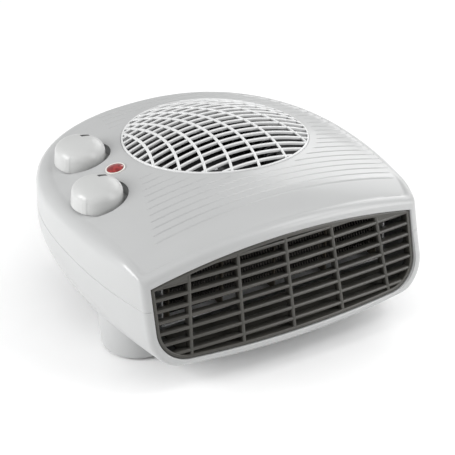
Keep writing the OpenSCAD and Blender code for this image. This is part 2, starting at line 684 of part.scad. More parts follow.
module motor_stator() color([0.45, 0.45, 0.48]) translate([fan_c.x, fan_c.y, stack_z])
    linear_extrude(stack_h) difference() {
        translate([-plate_w / 2, -plate_front]) square([plate_w, plate_front + plate_back]);
        circle(rotor_r, $fn = fine);
        translate([-window_w / 2, window_y]) square([window_w, window_d]);
        for (s = [-1, 1]) translate([s * bolt_x, 0]) circle(2.1, $fn = fine);
    }
module motor_coil() color([0.7, 0.35, 0.15]) translate([fan_c.x, fan_c.y, stack_z]) difference() {
    translate([-coil_w / 2, winding_y, -4.4]) cube([coil_w, winding_d, stack_h + 8.8]);
    translate([-coil_w / 2 - 1.4, core_y, -snug]) cube([coil_w + 2.8, core_d, stack_h + 2 * snug]);
}
bracket_t = 2;
bolt_r = 1.9;
bracket_gap = 3;
// Bearing bracket of the motor, with legs of length up and down round the bolts
module bracket(z, up, down, bush_z) translate([fan_c.x, fan_c.y, z]) difference() {
    union() {
        translate([1 - plate_w / 2, -7, 0]) cube([plate_w - 2, 14, bracket_t]);
        translate([0, 0, bush_z]) cylinder(r = 6, h = bracket_t + 1, $fn = fine);
        for (s = [-1, 1]) translate([s * bolt_x, 0, -down])
            cylinder(r = 4, h = bracket_t + up + down, $fn = fine);
    }
    translate([0, 0, -5]) cylinder(r = shaft_r + run_gap, h = 12, $fn = fine);
    for (s = [-1, 1]) translate([s * bolt_x, 0, -down - 1])
        cylinder(r = bolt_r + 0.1, h = bracket_t + up + down + 2, $fn = fine);
}
bracket_top_z = stack_z + stack_h + 1.4;
module motor_brackets() color("silver") {
    bracket(stack_z - bracket_gap - bracket_t, bracket_gap, 0, -1);
    bracket(bracket_top_z, duct_z - bracket_top_z - bracket_t, bracket_top_z - stack_z - stack_h, 0);
}

// Pan head screw that points up, with its seat at z = 0
module screw(head_r, head_h, r, l) {
    translate([0, 0, -head_h]) cylinder(r = head_r, h = head_h, $fn = fine);
    translate([0, 0, -head_h / 2]) cylinder(r = r, h = l + head_h / 2, $fn = fine);
}
module motor_screws() color("lightsteelblue") for (s = [-1, 1])
    translate([fan_c.x + s * bolt_x, fan_c.y, stack_z - bracket_gap - bracket_t])
        screw(3.4, 2, bolt_r, duct_z + duct_t - stack_z + bracket_gap + bracket_t + 1);
module duct_screws() color("lightsteelblue") for (p = duct_post)
    translate([p.x, p.y, duct_z + duct_t]) mirror([0, 0, 1])
        screw(3, 1.6, screw_hole_r - run_gap, 11);
module case_screws() color("lightsteelblue") for (p = screw_pos)
    translate([p.x, p.y, boss_top - 4]) screw(3.4, 2.4, screw_hole_r - run_gap, 17);
module foot_pads() color([0.12, 0.12, 0.12]) for (i = [0:3])
    translate([pad_pos[i].x, pad_pos[i].y, 0]) cylinder(r = pad_r(i), h = pad_t, $fn = fine);
module cable_gland() color([0.15, 0.15, 0.15]) at_gland() difference() {
    union() {
        translate([0, 0, -wall - gland_room - gland_lip])
            cylinder(r = gland_r + 1.5, h = gland_lip, $fn = fine);
        translate([0, 0, -wall - gland_room - 0.5])
            cylinder(r = gland_r, h = wall + gland_room + 1.5, $fn = fine);
        translate([0, 0, 0.5]) cylinder(r = gland_r + 1.5, h = gland_lip, $fn = fine);
    }
    translate([0, 0, -wall - 5]) cylinder(r = 3.3, h = 12, $fn = fine);
}

// Heating element: sheet frame, notched boards and three coils
frame_y0 = -91;
frame_y1 = -79.4;
frame_x = duct_front_x - duct_t - 0.2;
frame_z0 = duct_low + duct_t + 0.2;
frame_z1 = duct_top - 0.3;
sheet_t = 1;
element_y = -85;
board_t = 0.8;
board_n = 5;
coil_rows = [for (k = [0:2]) coil_z + k * coil_p];
module heater_frame() color([0.75, 0.75, 0.76]) difference() {
    translate([-frame_x, frame_y0, frame_z0])
        cube([2 * frame_x, frame_y1 - frame_y0, frame_z1 - frame_z0]);
    translate([-frame_x + sheet_t, frame_y0 - 1, frame_z0 + sheet_t])
        cube([2 * (frame_x - sheet_t), frame_y1 - frame_y0 + 2, frame_z1 - frame_z0 - 2 * sheet_t]);
}
board_x = [for (k = [0:board_n - 1]) (k - (board_n - 1) / 2) * (2 * (frame_x - 6) / (board_n - 1))];
module element_boards() color([0.78, 0.72, 0.6]) for (x = board_x) difference() {
    translate([x - board_t / 2, frame_y0 + 1, frame_z0 + sheet_t])
        cube([board_t, frame_y1 - frame_y0 - 2, frame_z1 - frame_z0 - 2 * sheet_t]);
    for (z = coil_rows) translate([x - 2, element_y, z]) rotate([0, 90, 0])
        cylinder(r = coil_r + wire_r + 0.15, h = 4, $fn = fine);
}
coil_sides = 6;
coil_rings = 8;
coil_half = board_x[board_n - 1] + 1.5;
coil_pitch = 2 * coil_half / coil_n;
function coil_at(t, z) = [-coil_half + coil_pitch * t, element_y + coil_r * cos(360 * t),
                          z + coil_r * sin(360 * t)];
function coil_along(t) = let (v = [coil_pitch, -2 * PI * coil_r * sin(360 * t),
    2 * PI * coil_r * cos(360 * t)]) v / norm(v);
function coil_ring(c, t) = let (n = [0, cos(360 * t), sin(360 * t)], b = cross(coil_along(t), n))
    [for (k = [0:coil_sides - 1]) let (a = 360 * k / coil_sides) c + wire_r * (cos(a) * n + sin(a) * b)];
module coil(z) {
    steps = coil_n * coil_rings;
    end = 2 * wire_r;
    rings = concat(
        [coil_ring(coil_at(0, z) - end * coil_along(0), 0)],
        [for (i = [0:steps]) coil_ring(coil_at(i / coil_rings, z), i / coil_rings)],
        [coil_ring(coil_at(coil_n, z) + end * coil_along(coil_n), coil_n)]);
    last = len(rings) - 1;
    sides = [for (i = [0:last - 1]) for (k = [0:coil_sides - 1])
        let (a = i * coil_sides + k, b = i * coil_sides + (k + 1) % coil_sides)
        each [[a, b + coil_sides, b], [a, a + coil_sides, b + coil_sides]]];
    start_fan = [for (k = [1:coil_sides - 2]) [0, k, k + 1]];
    end_fan = [for (k = [1:coil_sides - 2]) [0, k + 1, k] + last * coil_sides * [1, 1, 1]];
    polyhedron([for (r = rings) each r], concat(sides, start_fan, end_fan));
}
module heating_coils() color([0.62, 0.45, 0.35]) for (z = coil_rows) coil(z);
coil_gap = min([for (i = [6:coil_rings + 2]) for (j = [0:coil_rings - 1])
    norm(coil_at((i + j) / coil_rings, 0) - coil_at(j / coil_rings, 0))]) - 2 * wire_r;
echo(least_coil_gap = coil_gap);

// Safety parts below the duct cover
cutout_pos = [frame_x - 32, frame_y1 + 17.4];
fuse_pos = [38 - frame_x, frame_y1 + 13.4];
module thermal_cutout() color([0.25, 0.22, 0.2]) translate([cutout_pos.x, cutout_pos.y, duct_top - 6.2]) {
    cylinder(r = 7.5, h = 6, $fn = fine);
    translate([-12, -3, 4.8]) cube([24, 6, 1.2]);
}
module thermal_fuse() color([0.9, 0.9, 0.88]) translate([fuse_pos.x, fuse_pos.y, duct_top - 2.3]) {
    rotate([0, 90, 0]) cylinder(r = 2.1, h = 14, center = true, $fn = fine);
    rotate([0, 90, 0]) cylinder(r = 0.6, h = 30, center = true, $fn = fine);
}
block_pos = [0, 70];
block_z = floor_z + wall + 0.15;
module terminal_block() color([0.92, 0.92, 0.88])
    translate([block_pos.x, block_pos.y, block_z]) difference() {
    translate([-16, -7, 0]) cube([32, 14, 12]);
    for (k = [-1:1]) {
        translate([k * 10, -8, 7]) rotate([-90, 0, 0]) cylinder(r = 1.8, h = 16, $fn = fine);
        translate([k * 10, 0, 6]) cylinder(r = 2.2, h = 8, $fn = fine);
    }
}

// Insulated leads, straight runs with a ball at each bend
lead_r = 1.2;
module lead(points) {
    for (i = [0:len(points) - 2]) let (d = points[i + 1] - points[i])
        translate(points[i]) rotate([0, acos(d.z / norm(d)), atan2(d.y, d.x)])
            cylinder(r = lead_r, h = norm(d), $fn = fine);
    for (i = [1:len(points) - 2]) translate(points[i]) rotate([40, 25, 0]) sphere(lead_r * 1.3, $fn = fine);
}
switch_low = knob_base(knob_pos[0]) - control_z - body_h;
stat_low = knob_base(knob_pos[1]) - control_z - body_h;
lead_tail = 4;
function under(p, low) = [[p.x, p.y, low - lead_tail], [p.x, p.y, low - 0.05]];
function over(p, low) = [[p.x, p.y, low - 0.05], [p.x, p.y, low - lead_tail]];
module internal_leads() color([0.2, 0.2, 0.55]) {
    lead(concat([[block_pos.x - 10, block_pos.y + 8.4, 26], [block_pos.x - 40, block_pos.y + 22, 42],
                 [knob_pos[0].x + 14.3, knob_pos[0].y + 8.8, 59]],
                under(knob_pos[0] + [0, 5], switch_low)));
    lead(concat(over(knob_pos[0] + [-6, -3], switch_low), [[23 - half_w, 30, 61], [20 - half_w, 0, 59]],
                under(knob_pos[1] + [-6, 0], stat_low)));
    lead(concat(over(knob_pos[1] + [-4, -7], stat_low), [[14 - half_w, -42, 63], [18 - half_w, -78, 61],
                [-frame_x - 1.4, element_y, coil_z]]));
}

upper_shell();
lower_shell();
inlet_grille();
outlet_grille();
thermostat_knob();
thermostat_spindle();
thermostat_body();
selector_knob();
selector_spindle();
selector_switch();
lamp_bezel();
lamp_lens();
neon_lamp();
air_duct();
duct_cover();
impeller();
motor_shaft();
motor_rotor();
motor_stator();
motor_coil();
motor_brackets();
heater_frame();
element_boards();
heating_coils();
thermal_cutout();
thermal_fuse();
terminal_block();
internal_leads();
cable_gland();
foot_pads();
case_screws();
duct_screws();
motor_screws();
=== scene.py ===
"""A flat-bed fan heater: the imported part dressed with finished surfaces, on a pale studio floor.

Lengths are millimetres in the part's frame, X right, Y back and Z up; meshes are made in metres.
"""
import math

import bmesh
import bpy
import numpy as np
from mathutils import Matrix


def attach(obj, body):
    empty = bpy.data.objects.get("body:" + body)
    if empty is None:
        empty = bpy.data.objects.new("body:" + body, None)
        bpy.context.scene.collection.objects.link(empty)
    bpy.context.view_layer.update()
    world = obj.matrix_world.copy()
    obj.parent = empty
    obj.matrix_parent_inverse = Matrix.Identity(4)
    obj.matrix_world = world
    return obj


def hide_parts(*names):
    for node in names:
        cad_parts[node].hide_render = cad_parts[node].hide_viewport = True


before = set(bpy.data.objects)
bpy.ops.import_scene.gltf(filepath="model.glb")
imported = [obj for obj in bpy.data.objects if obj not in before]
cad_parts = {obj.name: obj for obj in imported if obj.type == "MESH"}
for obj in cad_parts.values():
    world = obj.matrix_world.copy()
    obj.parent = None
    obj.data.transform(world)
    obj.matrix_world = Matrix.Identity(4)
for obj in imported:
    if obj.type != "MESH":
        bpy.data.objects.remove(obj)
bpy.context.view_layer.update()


# Lower shell: a glossy light grey ABS tub, injection moulded in one piece with its four hollow
# feet. Its lower edges are rounded, its front leans back and its rim carries the upper shell.
# The screws that close the case are reached through the feet from below.
MM = 0.001
CASE_W, CASE_D, FRONT_W, WALL, SNUG = 242.0, 243.0, 219.0, 2.5, 0.25
HALF_W, WIDE_Y, FACE_Y, FACE_Z = CASE_W / 2, -18.0, -113.0, 57.0
BACK_D, BACK_N, LEAN, LEAN_FULL = CASE_D / 2 - WIDE_Y, 2.6, math.radians(13), 12.0
FRONT_R, EDGE_R, SEAM, SIDE_START = 1070.0, 5.5, 0.5, 5.0
BELLY_R, BACK_BELLY_R, BELLY_AHEAD, BELLY_OVER = 27.0, 38.0, 32.0, 110.0
FLOOR_Z, PART_Z, RISE_R, FLOOR_MID = 16.9, 64.5, 1132.0, np.array([0.0, -10.0])
SIDE_LEN = WIDE_Y - (FACE_Y + SIDE_START)
SIDE_R = (SIDE_LEN ** 2 + (HALF_W - FRONT_W / 2) ** 2) / (2 * (HALF_W - FRONT_W / 2))
FRONT_C, SIDE_C = np.array([0, FACE_Y + FRONT_R]), np.array([HALF_W - SIDE_R, WIDE_Y])
FRONT_STEPS, CORNER_STEPS, SIDE_STEPS, TAIL_STEPS, RING = 50, 14, 26, 90, 420
CORNER_IN, CORNER_BACK, CORNER_REACH, CORNER_MORE = 3.0, 9.0, 9.0, 7.0
FOOT_Z, FOOT_TOP, FOOT_FLOOR, FLARE, FOOT_ROUND = 1.0, 34.0, 5.0, 3.0, 2.5
FEET = [((86, -46), 25.4), ((-86, -46), 25.4), ((67, 75), 18.5), ((-67, 75), 18.5)]
PADS = [((80, -49), 11), ((-80, -49), 11), ((59.5, 68), 7), ((-59.5, 68), 7)]
SCREWS = [(98, -42), (-98, -42), (70, 79), (-70, 79)]
PAD_SEAT_Z, SCREW_WAY_R, SCREW_SEAT_Z = 2.0, 4.0, 24.75
OUTLET_W, OUTLET_TOP, OUTLET_BOTTOM = 208.0, 93.1, 23.4
ARCH_R, CORNER_R, LIP, LIP_RUN, WAY_FRONT, WAY_BACK = 450.0, 24.0, 0.9, 0.6, -20.0, 14.0
UNDER_Z, POLE_R = -1.0, 0.02
CASE_GREY = (0.445, 0.45, 0.45)
MIX_FACTOR, MIX_FIRST, MIX_SECOND, MIX_RESULT = 0, 6, 7, 2


class Wire:
    """A shader output that can be used in sums: every operator makes one Math node."""

    def __init__(self, finish, socket):
        self.finish, self.socket = finish, socket

    def math(self, operation, other, swap=False):
        """One Math node of this wire and another wire or number, which comes first with swap."""
        values = [other, self] if swap else [self, other]
        return self.finish.node("Math", {"operation": operation}, dict(enumerate(values)))

    def __add__(self, other): return self.math("ADD", other)
    def __radd__(self, other): return self.math("ADD", other, swap=True)
    def __sub__(self, other): return self.math("SUBTRACT", other)
    def __rsub__(self, other): return self.math("SUBTRACT", other, swap=True)
    def __mul__(self, other): return self.math("MULTIPLY", other)
    def __rmul__(self, other): return self.math("MULTIPLY", other, swap=True)

    def clamp(self, low, high):
        """The wire held between two numbers."""
        return self.math("MAXIMUM", low).math("MINIMUM", high)

    def step(self, low, high):
        """0 below low, 1 above high and an even S between."""
        settings = {"interpolation_type": "SMOOTHSTEP"}
        sockets = {"Value": self, "From Min": low, "From Max": high}
        return self.finish.node("MapRange", settings, sockets, "Result")


class Finish:
    """One material: a Principled shader, and the patterns that feed it."""

    def __init__(self, name, colour, roughness, **numbers):
        self.material = bpy.data.materials.new(name)
        self.material.use_nodes = True
        self.tree = self.material.node_tree
        self.shader = self.tree.nodes["Principled BSDF"]
        self.colour, self.roughness = colour, roughness
        self.shader.inputs["Base Color"].default_value = (*colour, 1)
        for key, value in numbers.items():
            self.shader.inputs[key.replace("_", " ").title()].default_value = value
        self.place = self.node("TexCoord", {}, {}, "Object")

    def node(self, kind, settings, sockets, output=0):
        """An output of a new node: its settings are set first, then its sockets or their links."""
        node = self.tree.nodes.new("ShaderNode" + kind)
        for key, value in settings.items():
            setattr(node, key, value)
        for key, value in sockets.items():
            if isinstance(value, Wire):
                self.tree.links.new(value.socket, node.inputs[key])
            else:
                node.inputs[key].default_value = value
        return Wire(self, node.outputs[output])

    def feed(self, name, wire):
        """Links a wire to a socket of the shader."""
        self.tree.links.new(wire.socket, self.shader.inputs[name])

    def noise(self, size, detail, stretch=(1, 1, 1)):
        """Noise from 0 to 1 with lumps of a size in mm, drawn out along the axes by stretch."""
        scale = [1 / (size * MM * s) for s in stretch]
        mapped = self.node("Mapping", {}, {"Vector": self.place, "Scale": scale})
        return self.node("TexNoise", {}, {"Vector": mapped, "Scale": 1.0, "Detail": detail}, "Fac")

    def tint(self, amount, other):
        """Base Color goes from the finish's own to the other as amount goes from 0 to 1."""
        sockets = {MIX_FACTOR: amount, MIX_FIRST: (*self.colour, 1), MIX_SECOND: (*other, 1)}
        self.feed("Base Color", self.node("Mix", {"data_type": "RGBA"}, sockets, MIX_RESULT))

    def gloss(self, wire, spread):
        """Roughness that swings about the finish's own by a spread."""
        self.feed("Roughness", (self.roughness + (wire - 0.5) * spread).clamp(0.03, 1.0))

    def relief(self, wire, depth):
        """Bump whose height is the wire times a depth in mm."""
        sockets = {"Distance": depth * MM, "Height": wire}
        self.feed("Normal", self.node("Bump", {}, sockets, "Normal"))


def moulded(name, colour, roughness, shade=0.98, grain=0.5, depth=0.0006, **numbers):
    """Moulded plastic: slow changes of shade, uneven gloss and a fine skin texture.

    The skin's height is a noise of the grain's size plus twice a slow one.
    """
    finish = Finish(name, colour, roughness, **numbers)
    finish.tint(finish.noise(size=45, detail=3).step(0.3, 0.75), [c * shade for c in colour])
    finish.gloss(finish.noise(size=20, detail=3), spread=0.03)
    skin = finish.noise(size=grain, detail=2) + finish.noise(size=30, detail=1) * 2.0
    finish.relief(skin, depth)
    return finish


def grid_faces(rows, columns, wrap_rows, wrap_columns):
    """Quads between the neighbours of a grid of points, closed on itself where told."""
    r = np.arange(rows if wrap_rows else rows - 1)
    c = np.arange(columns if wrap_columns else columns - 1)
    r, c = (a.ravel() for a in np.meshgrid(r, c, indexing="ij"))
    r2, c2 = (r + 1) % rows, (c + 1) % columns
    return np.stack([r * columns + c, r * columns + c2, r2 * columns + c2, r2 * columns + c], 1)


class Form:
    """Grids of points in mm, gathered into one mesh."""

    def __init__(self):
        self.points, self.faces, self.count = [], [], 0

    def grid(self, rows, wrap_rows=False, wrap_columns=True, cap=False):
        """Adds a grid of shape (rows, columns, 3), and with cap a face on its two end rows."""
        rows = np.asarray(rows, float)
        n, m = rows.shape[:2]
        self.faces += (grid_faces(n, m, wrap_rows, wrap_columns) + self.count).tolist()
        if cap:
            ring = self.count + np.arange(m)
            self.faces += [ring[::-1].tolist(), (ring + (n - 1) * m).tolist()]
        self.points.append(rows.reshape(-1, 3))
        self.count += n * m
        return self

    def made(self, name):
        """The mesh as an object, with its faces turned outwards."""
        mesh = bpy.data.meshes.new(name)
        mesh.from_pydata((np.concatenate(self.points) * MM).tolist(), [], self.faces)
        turned = bmesh.new()
        turned.from_mesh(mesh)
        bmesh.ops.recalc_face_normals(turned, faces=turned.faces)
        turned.to_mesh(mesh)
        turned.free()
        thing = bpy.data.objects.new(name, mesh)
        bpy.context.collection.objects.link(thing)
        return thing


def cut(thing, form):
    """Takes a closed form out of a piece."""
    tool = form.made("tool")
    step = thing.modifiers.new("cut", "BOOLEAN")
    step.operation, step.solver, step.object = "DIFFERENCE", "EXACT", tool
    seen = thing.evaluated_get(bpy.context.evaluated_depsgraph_get())
    whole = bpy.data.meshes.new_from_object(seen)
    thing.modifiers.clear()
    thing.data = whole
    bpy.data.objects.remove(tool)


def joined(*things):
    """Several meshes as one object, the first."""
    whole = bmesh.new()
    for thing in things:
        whole.from_mesh(thing.data)
    whole.to_mesh(things[0].data)
    whole.free()
    for thing in things[1:]:
        bpy.data.objects.remove(thing)
    return things[0]


def fit(thing, body, finish, node, sharp=34):
    """Smooths a piece but for edges over a sharp angle, and lets it stand for a CAD node."""
    thing.data.shade_smooth()
    thing.data.set_sharp_from_angle(angle=math.radians(sharp))
    thing.data.materials.clear()
    thing.data.materials.append(finish.material)
    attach(thing, body)
    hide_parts(node)


def lathe(profile, centre, sides=96):
    """Rings of a profile of (radius, height) points turned about an upright line."""
    profile = np.asarray(profile, float)
    angle = np.linspace(0, 2 * math.pi, sides, endpoint=False)
    x = centre[0] + profile[:, :1] * np.cos(angle)
    y = centre[1] + profile[:, :1] * np.sin(angle)
    return np.stack([x, y, np.repeat(profile[:, 1:], sides, 1)], -1)


def drum(centre, radius, z0, z1):
    """A closed upright cylinder."""
    return Form().grid(lathe([(radius, z0), (radius, z1)], centre), cap=True)


def arc(centre, radius, start, end, steps):
    """Points of a circle's arc in a plane, between two angles in degrees."""
    a = np.radians(np.linspace(start, end, steps))
    return np.stack([centre[0] + radius * np.cos(a), centre[1] + radius * np.sin(a)], 1)


def outline():
    """Plan of the case: a front arc, round corners, side arcs and a rounded back, x over y.

    The corner's centre lies its own radius inside both the front and the side arc. The back is
    a superellipse: x is the half width times cos(t) ** (2 / n), y the depth times the sine's.
    """
    c = np.array([FRONT_W / 2 - EDGE_R, FACE_Y + 2 * EDGE_R])
    for _ in range(6):
        c[0] = SIDE_C[0] + math.sqrt((SIDE_R - EDGE_R) ** 2 - (c[1] - SIDE_C[1]) ** 2)
        c[1] = FRONT_C[1] - math.sqrt((FRONT_R - EDGE_R) ** 2 - c[0] ** 2)
    front_a = math.degrees(math.atan2(c[1] - FRONT_C[1], c[0]))
    side_a = math.degrees(math.atan2(c[1] - SIDE_C[1], c[0] - SIDE_C[0]))
    t = np.linspace(0, math.pi / 2, TAIL_STEPS)
    tail = np.stack([HALF_W * np.cos(t).clip(0) ** (2 / BACK_N),
                     WIDE_Y + BACK_D * np.sin(t) ** (2 / BACK_N)], 1)
    half = np.concatenate([arc(FRONT_C, FRONT_R, -90, front_a, FRONT_STEPS)[:-1],
                           arc(c, EDGE_R, front_a, side_a, CORNER_STEPS)[:-1],
                           arc(SIDE_C, SIDE_R, side_a, 0, SIDE_STEPS)[:-1], tail])
    return np.concatenate([half, half[-2:0:-1] * [-1, 1]])


def even(loop, count):
    """A closed loop sampled anew at even steps, which are eight times finer in the corners.

    A stretch counts as 1 + CORNER_MORE * exp(-(near / CORNER_REACH) ** 2) times its length,
    where near is how far it lies from the middle of its front corner.
    """
    closed = np.concatenate([loop, loop[:1]])
    near = np.hypot(np.abs(loop[:, 0]) - FRONT_W / 2 + CORNER_IN,
                    loop[:, 1] - FACE_Y - CORNER_BACK)
    weight = 1 + CORNER_MORE * np.exp(-(near / CORNER_REACH) ** 2)
    step = np.linalg.norm(np.diff(closed, axis=0), axis=1) * weight
    along = np.concatenate([[0], np.cumsum(step)])
    at = np.linspace(0, along[-1], count, endpoint=False)
    return np.stack([np.interp(at, along, closed[:, k]) for k in (0, 1)], 1)


PLAN = even(outline(), RING)
AHEAD = np.roll(PLAN, -1, 0) - np.roll(PLAN, 1, 0)
OUT = np.stack([AHEAD[:, 1], -AHEAD[:, 0]], 1) / np.linalg.norm(AHEAD, axis=1)[:, None]


def blend(t):
    """An even S from 0 to 1."""
    k = np.clip(t, 0, 1)
    return k * k * (3 - 2 * k)


def front_share(y):
    """How far a point of the plan takes part in the front's lean and rounding."""
    return np.clip((WIDE_Y - y) / (WIDE_Y - FACE_Y - LEAN_FULL), 0, 1)


def wall_ring(u, z, w):
    """The plan set in by a wall w and drawn in by u, leaning back with height at the front."""
    p = PLAN - OUT * w
    y = np.where(p[:, 1] > WIDE_Y, WIDE_Y + (p[:, 1] - WIDE_Y) * (1 - u / BACK_D),
                 p[:, 1] + front_share(p[:, 1]) * math.tan(LEAN) * (z - FACE_Z))
    return np.stack([p[:, 0] * (1 - u / HALF_W), y, z + np.zeros(len(p))], 1)


def set_in(height, radius):
    """How far a quarter round of a radius stands in at a height above its foot."""
    return radius - np.sqrt(radius ** 2 - np.clip(radius - height, 0, radius) ** 2)


def belly_ring(height, w):
    """A ring of the tub: a large round below the sides and back, a small one below the front.

    Its height grows with x * x, and less so the nearer it lies to the parting line.
    """
    behind = blend((PLAN[:, 1] - WIDE_Y + BELLY_AHEAD) / BELLY_OVER)
    radius = BELLY_R + (BACK_BELLY_R - BELLY_R) * behind
    ring = wall_ring(set_in(max(0, height - w), radius), FLOOR_Z + height, w)
    ring[:, 1] += set_in(max(0, height - w), EDGE_R) * front_share(PLAN[:, 1])
    share = max(0, 1 - height / (PART_Z - FLOOR_Z))
    ring[:, 2] += ring[:, 0] ** 2 / (2 * RISE_R) * share
    return ring


def floor_ring(k, w):
    """The lowest ring of the tub drawn in towards the middle, to a share k of its size."""
    ring = belly_ring(w, w)
    xy = (ring[:, :2] - FLOOR_MID) * k + FLOOR_MID
    return np.stack([xy[:, 0], xy[:, 1], FLOOR_Z + w + xy[:, 0] ** 2 / (2 * RISE_R)], 1)


def face_v(z):
    """Height along the leaning front face for a height z."""
    return (z - FACE_Z) / math.cos(LEAN)


def on_face(points):
    """Turns points of the leaning face's own frame into the heater's."""
    c, s = math.cos(LEAN), math.sin(LEAN)
    x, y, z = np.moveaxis(np.asarray(points, float), -1, 0)
    return np.stack([x, FACE_Y + c * y + s * z, FACE_Z - s * y + c * z], -1)


def bulge(x):
    """How far the front's plan arc falls back at a distance x from the middle."""
    return FRONT_R - np.sqrt(FRONT_R ** 2 - np.square(x))


def outlet_loop(grow, steps=40):
    """Outline of the outlet on the face: an arched top, straight sides and round lower corners."""
    hw, rc = OUTLET_W / 2 + grow, CORNER_R + grow
    top, low = face_v(OUTLET_TOP) + grow, face_v(OUTLET_BOTTOM) - grow
    x_low = np.linspace(rc - hw, hw - rc, steps)
    bottom = np.stack([x_low, low + x_low ** 2 / (2 * RISE_R)], 1)
    corner = arc((hw - rc, bottom[-1, 1] + rc), rc, -90, 0, steps // 2)
    x_top = np.linspace(hw, -hw, steps * 2)
    arch = np.stack([x_top, top - ARCH_R + np.sqrt(ARCH_R ** 2 - x_top ** 2)], 1)
    return np.concatenate([bottom, corner[1:], arch, corner[:0:-1] * [-1, 1]])


def outlet_way():
    """The opening as a closed prism whose mouth flares, so that the lip comes out rounded.

    The flare is a quarter round of radius LIP, and both ends of the prism are flat.
    """
    a = np.radians(np.linspace(0, 90, 5))
    steps = [(LIP * (1 - math.sin(t)), LIP * (1 - math.cos(t))) for t in a]
    rows = []
    for grow, depth in [(LIP, WAY_FRONT), (LIP, -LIP_RUN), *steps, (0, WAY_BACK)]:
        loop = outlet_loop(grow)
        rows.append(np.stack([loop[:, 0], bulge(loop[:, 0]) + depth, loop[:, 1]], 1))
    rows[0][:, 1], rows[-1][:, 1] = WAY_FRONT, WAY_BACK
    return Form().grid(on_face(rows), cap=True)


def case_tub():
    """Rings from the floor's middle out and up to the rim, and inside back down to the floor.

    Those of the small round stand at the squares of even steps, so closer at its foot.
    """
    steps = np.concatenate([np.linspace(0, 1, 9)[:-1] ** 2 * EDGE_R,
                            np.linspace(EDGE_R, BACK_BELLY_R, 16)])
    outer = [floor_ring(k, 0) for k in (0.02, 0.2, 0.4, 0.6, 0.8, 0.92)]
    outer += [belly_ring(h, 0) for h in steps] + [wall_ring(0, PART_Z - SEAM, 0)]
    outer += [wall_ring(0, PART_Z, SEAM), wall_ring(0, PART_Z, WALL)]
    inner = [belly_ring(h + WALL, WALL) for h in steps[::-2]]
    inner += [floor_ring(k, WALL) for k in (0.9, 0.6, 0.3, 0.02)]
    tub = Form().grid(outer + inner, cap=True).made("case_tub")
    cut(tub, outlet_way())
    return tub


def hollow_feet():
    """Four feet turned from one profile: a rounded foot, a flared outside and a hollow above.

    The seats of the pads and the ways to the screws are cut out from below.
    """
    feet = Form()
    for (x, y), r in FEET:
        edge = arc((r - FOOT_ROUND, FOOT_Z + FOOT_ROUND), FOOT_ROUND, -90, 0, 8)
        rim = r + FLARE * (FOOT_TOP - FOOT_Z) / FOOT_TOP
        profile = [(POLE_R, FOOT_Z), *edge, (rim, FOOT_TOP), (rim - WALL, FOOT_TOP),
                   (r - WALL, FOOT_FLOOR + 1), (POLE_R, FOOT_FLOOR)]
        feet.grid(lathe(profile, (x, y)), cap=True)
    legs = feet.made("case_feet")
    for (x, y), r in PADS:
        cut(legs, drum((x, y), r + SNUG, UNDER_Z, PAD_SEAT_Z))
    for x, y in SCREWS:
        cut(legs, drum((x, y), SCREW_WAY_R, UNDER_Z, SCREW_SEAT_Z))
    return legs


case_grey = moulded("case_grey", CASE_GREY, 0.31, coat_weight=0.2, coat_roughness=0.1)
fit(joined(case_tub(), hollow_feet()), "case", case_grey, "lower_shell")


# Foot pads, case screws and cable gland: black rubber discs glued into the feet, plated pan
# head screws at the bottom of the feet, and a rubber sleeve in the rear wall.
def dress(finish, *nodes):
    """Gives CAD nodes of the part a finish."""
    for node in nodes:
        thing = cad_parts[node]
        thing.data.materials.clear()
        thing.data.materials.append(finish.material)


def metal(name, colour, roughness, stretch=(1, 1, 1), dull=0.75, metallic=1.0):
    """Drawn or plated metal: streaks drawn out along an axis, duller patches, a fine grain."""
    finish = Finish(name, colour, roughness, metallic=metallic)
    patches = finish.noise(size=6, detail=4, stretch=stretch).step(0.35, 0.8)
    finish.tint(patches, [c * dull for c in colour])
    finish.gloss(finish.noise(size=1.5, detail=3, stretch=stretch), spread=0.25)
    finish.relief(finish.noise(size=0.6, detail=2, stretch=stretch), depth=0.003)
    return finish


rubber = moulded("pad_rubber", (0.02, 0.02, 0.021), 0.75, shade=1.5, grain=0.3, depth=0.006)
zinc = metal("zinc_plate", (0.62, 0.63, 0.66), 0.32, dull=0.8)
dress(rubber, "foot_pads", "cable_gland")
dress(zinc, "case_screws", "duct_screws", "motor_screws", "motor_brackets")


# Motor and fan: a shaded-pole motor of stamped laminations with one taped winding, and a
# moulded squirrel-cage impeller pressed on its ground shaft above the duct floor.
laminations = metal("laminations", (0.30, 0.30, 0.32), 0.5, stretch=(30, 30, 0.35), dull=0.5)
ground_steel = metal("ground_steel", (0.68, 0.68, 0.70), 0.2, stretch=(1, 1, 0.2))
cast_rotor = metal("cast_rotor", (0.55, 0.55, 0.57), 0.4, dull=0.7)
tape = moulded("winding_tape", (0.34, 0.12, 0.03), 0.55, shade=0.6, grain=0.5, depth=0.01)
fan_black = moulded("fan_black", (0.03, 0.03, 0.032), 0.45, shade=0.7, depth=0.002)
dress(laminations, "motor_stator")
dress(ground_steel, "motor_shaft")
dress(cast_rotor, "motor_rotor")
dress(tape, "motor_coil")
dress(fan_black, "impeller")


# Air duct and cover: heat-resistant dark mouldings, screwed together on the lower shell's
# posts. The scroll turns round the fan and widens to a nozzle that holds the element.
duct_grey = moulded("duct_grey", (0.013, 0.013, 0.014), 0.7, shade=0.75, grain=0.8, depth=0.004)
dress(duct_grey, "air_duct", "duct_cover")


# Heating element: three coils of resistance wire strung through notched mica boards in a plated
# sheet frame. Each coil is one wire wound in eighty close turns, which show as a fine shimmer
# behind the louvres.
COILS, COIL_R, WIRE_R, COIL_TURNS, COIL_RINGS, WIRE_SIDES = 3, 2.8, 0.32, 80, 14, 6
COIL_Z, COIL_STEP, COIL_Y, COIL_HALF = 51.0, 10.3, -85.0, 85.5


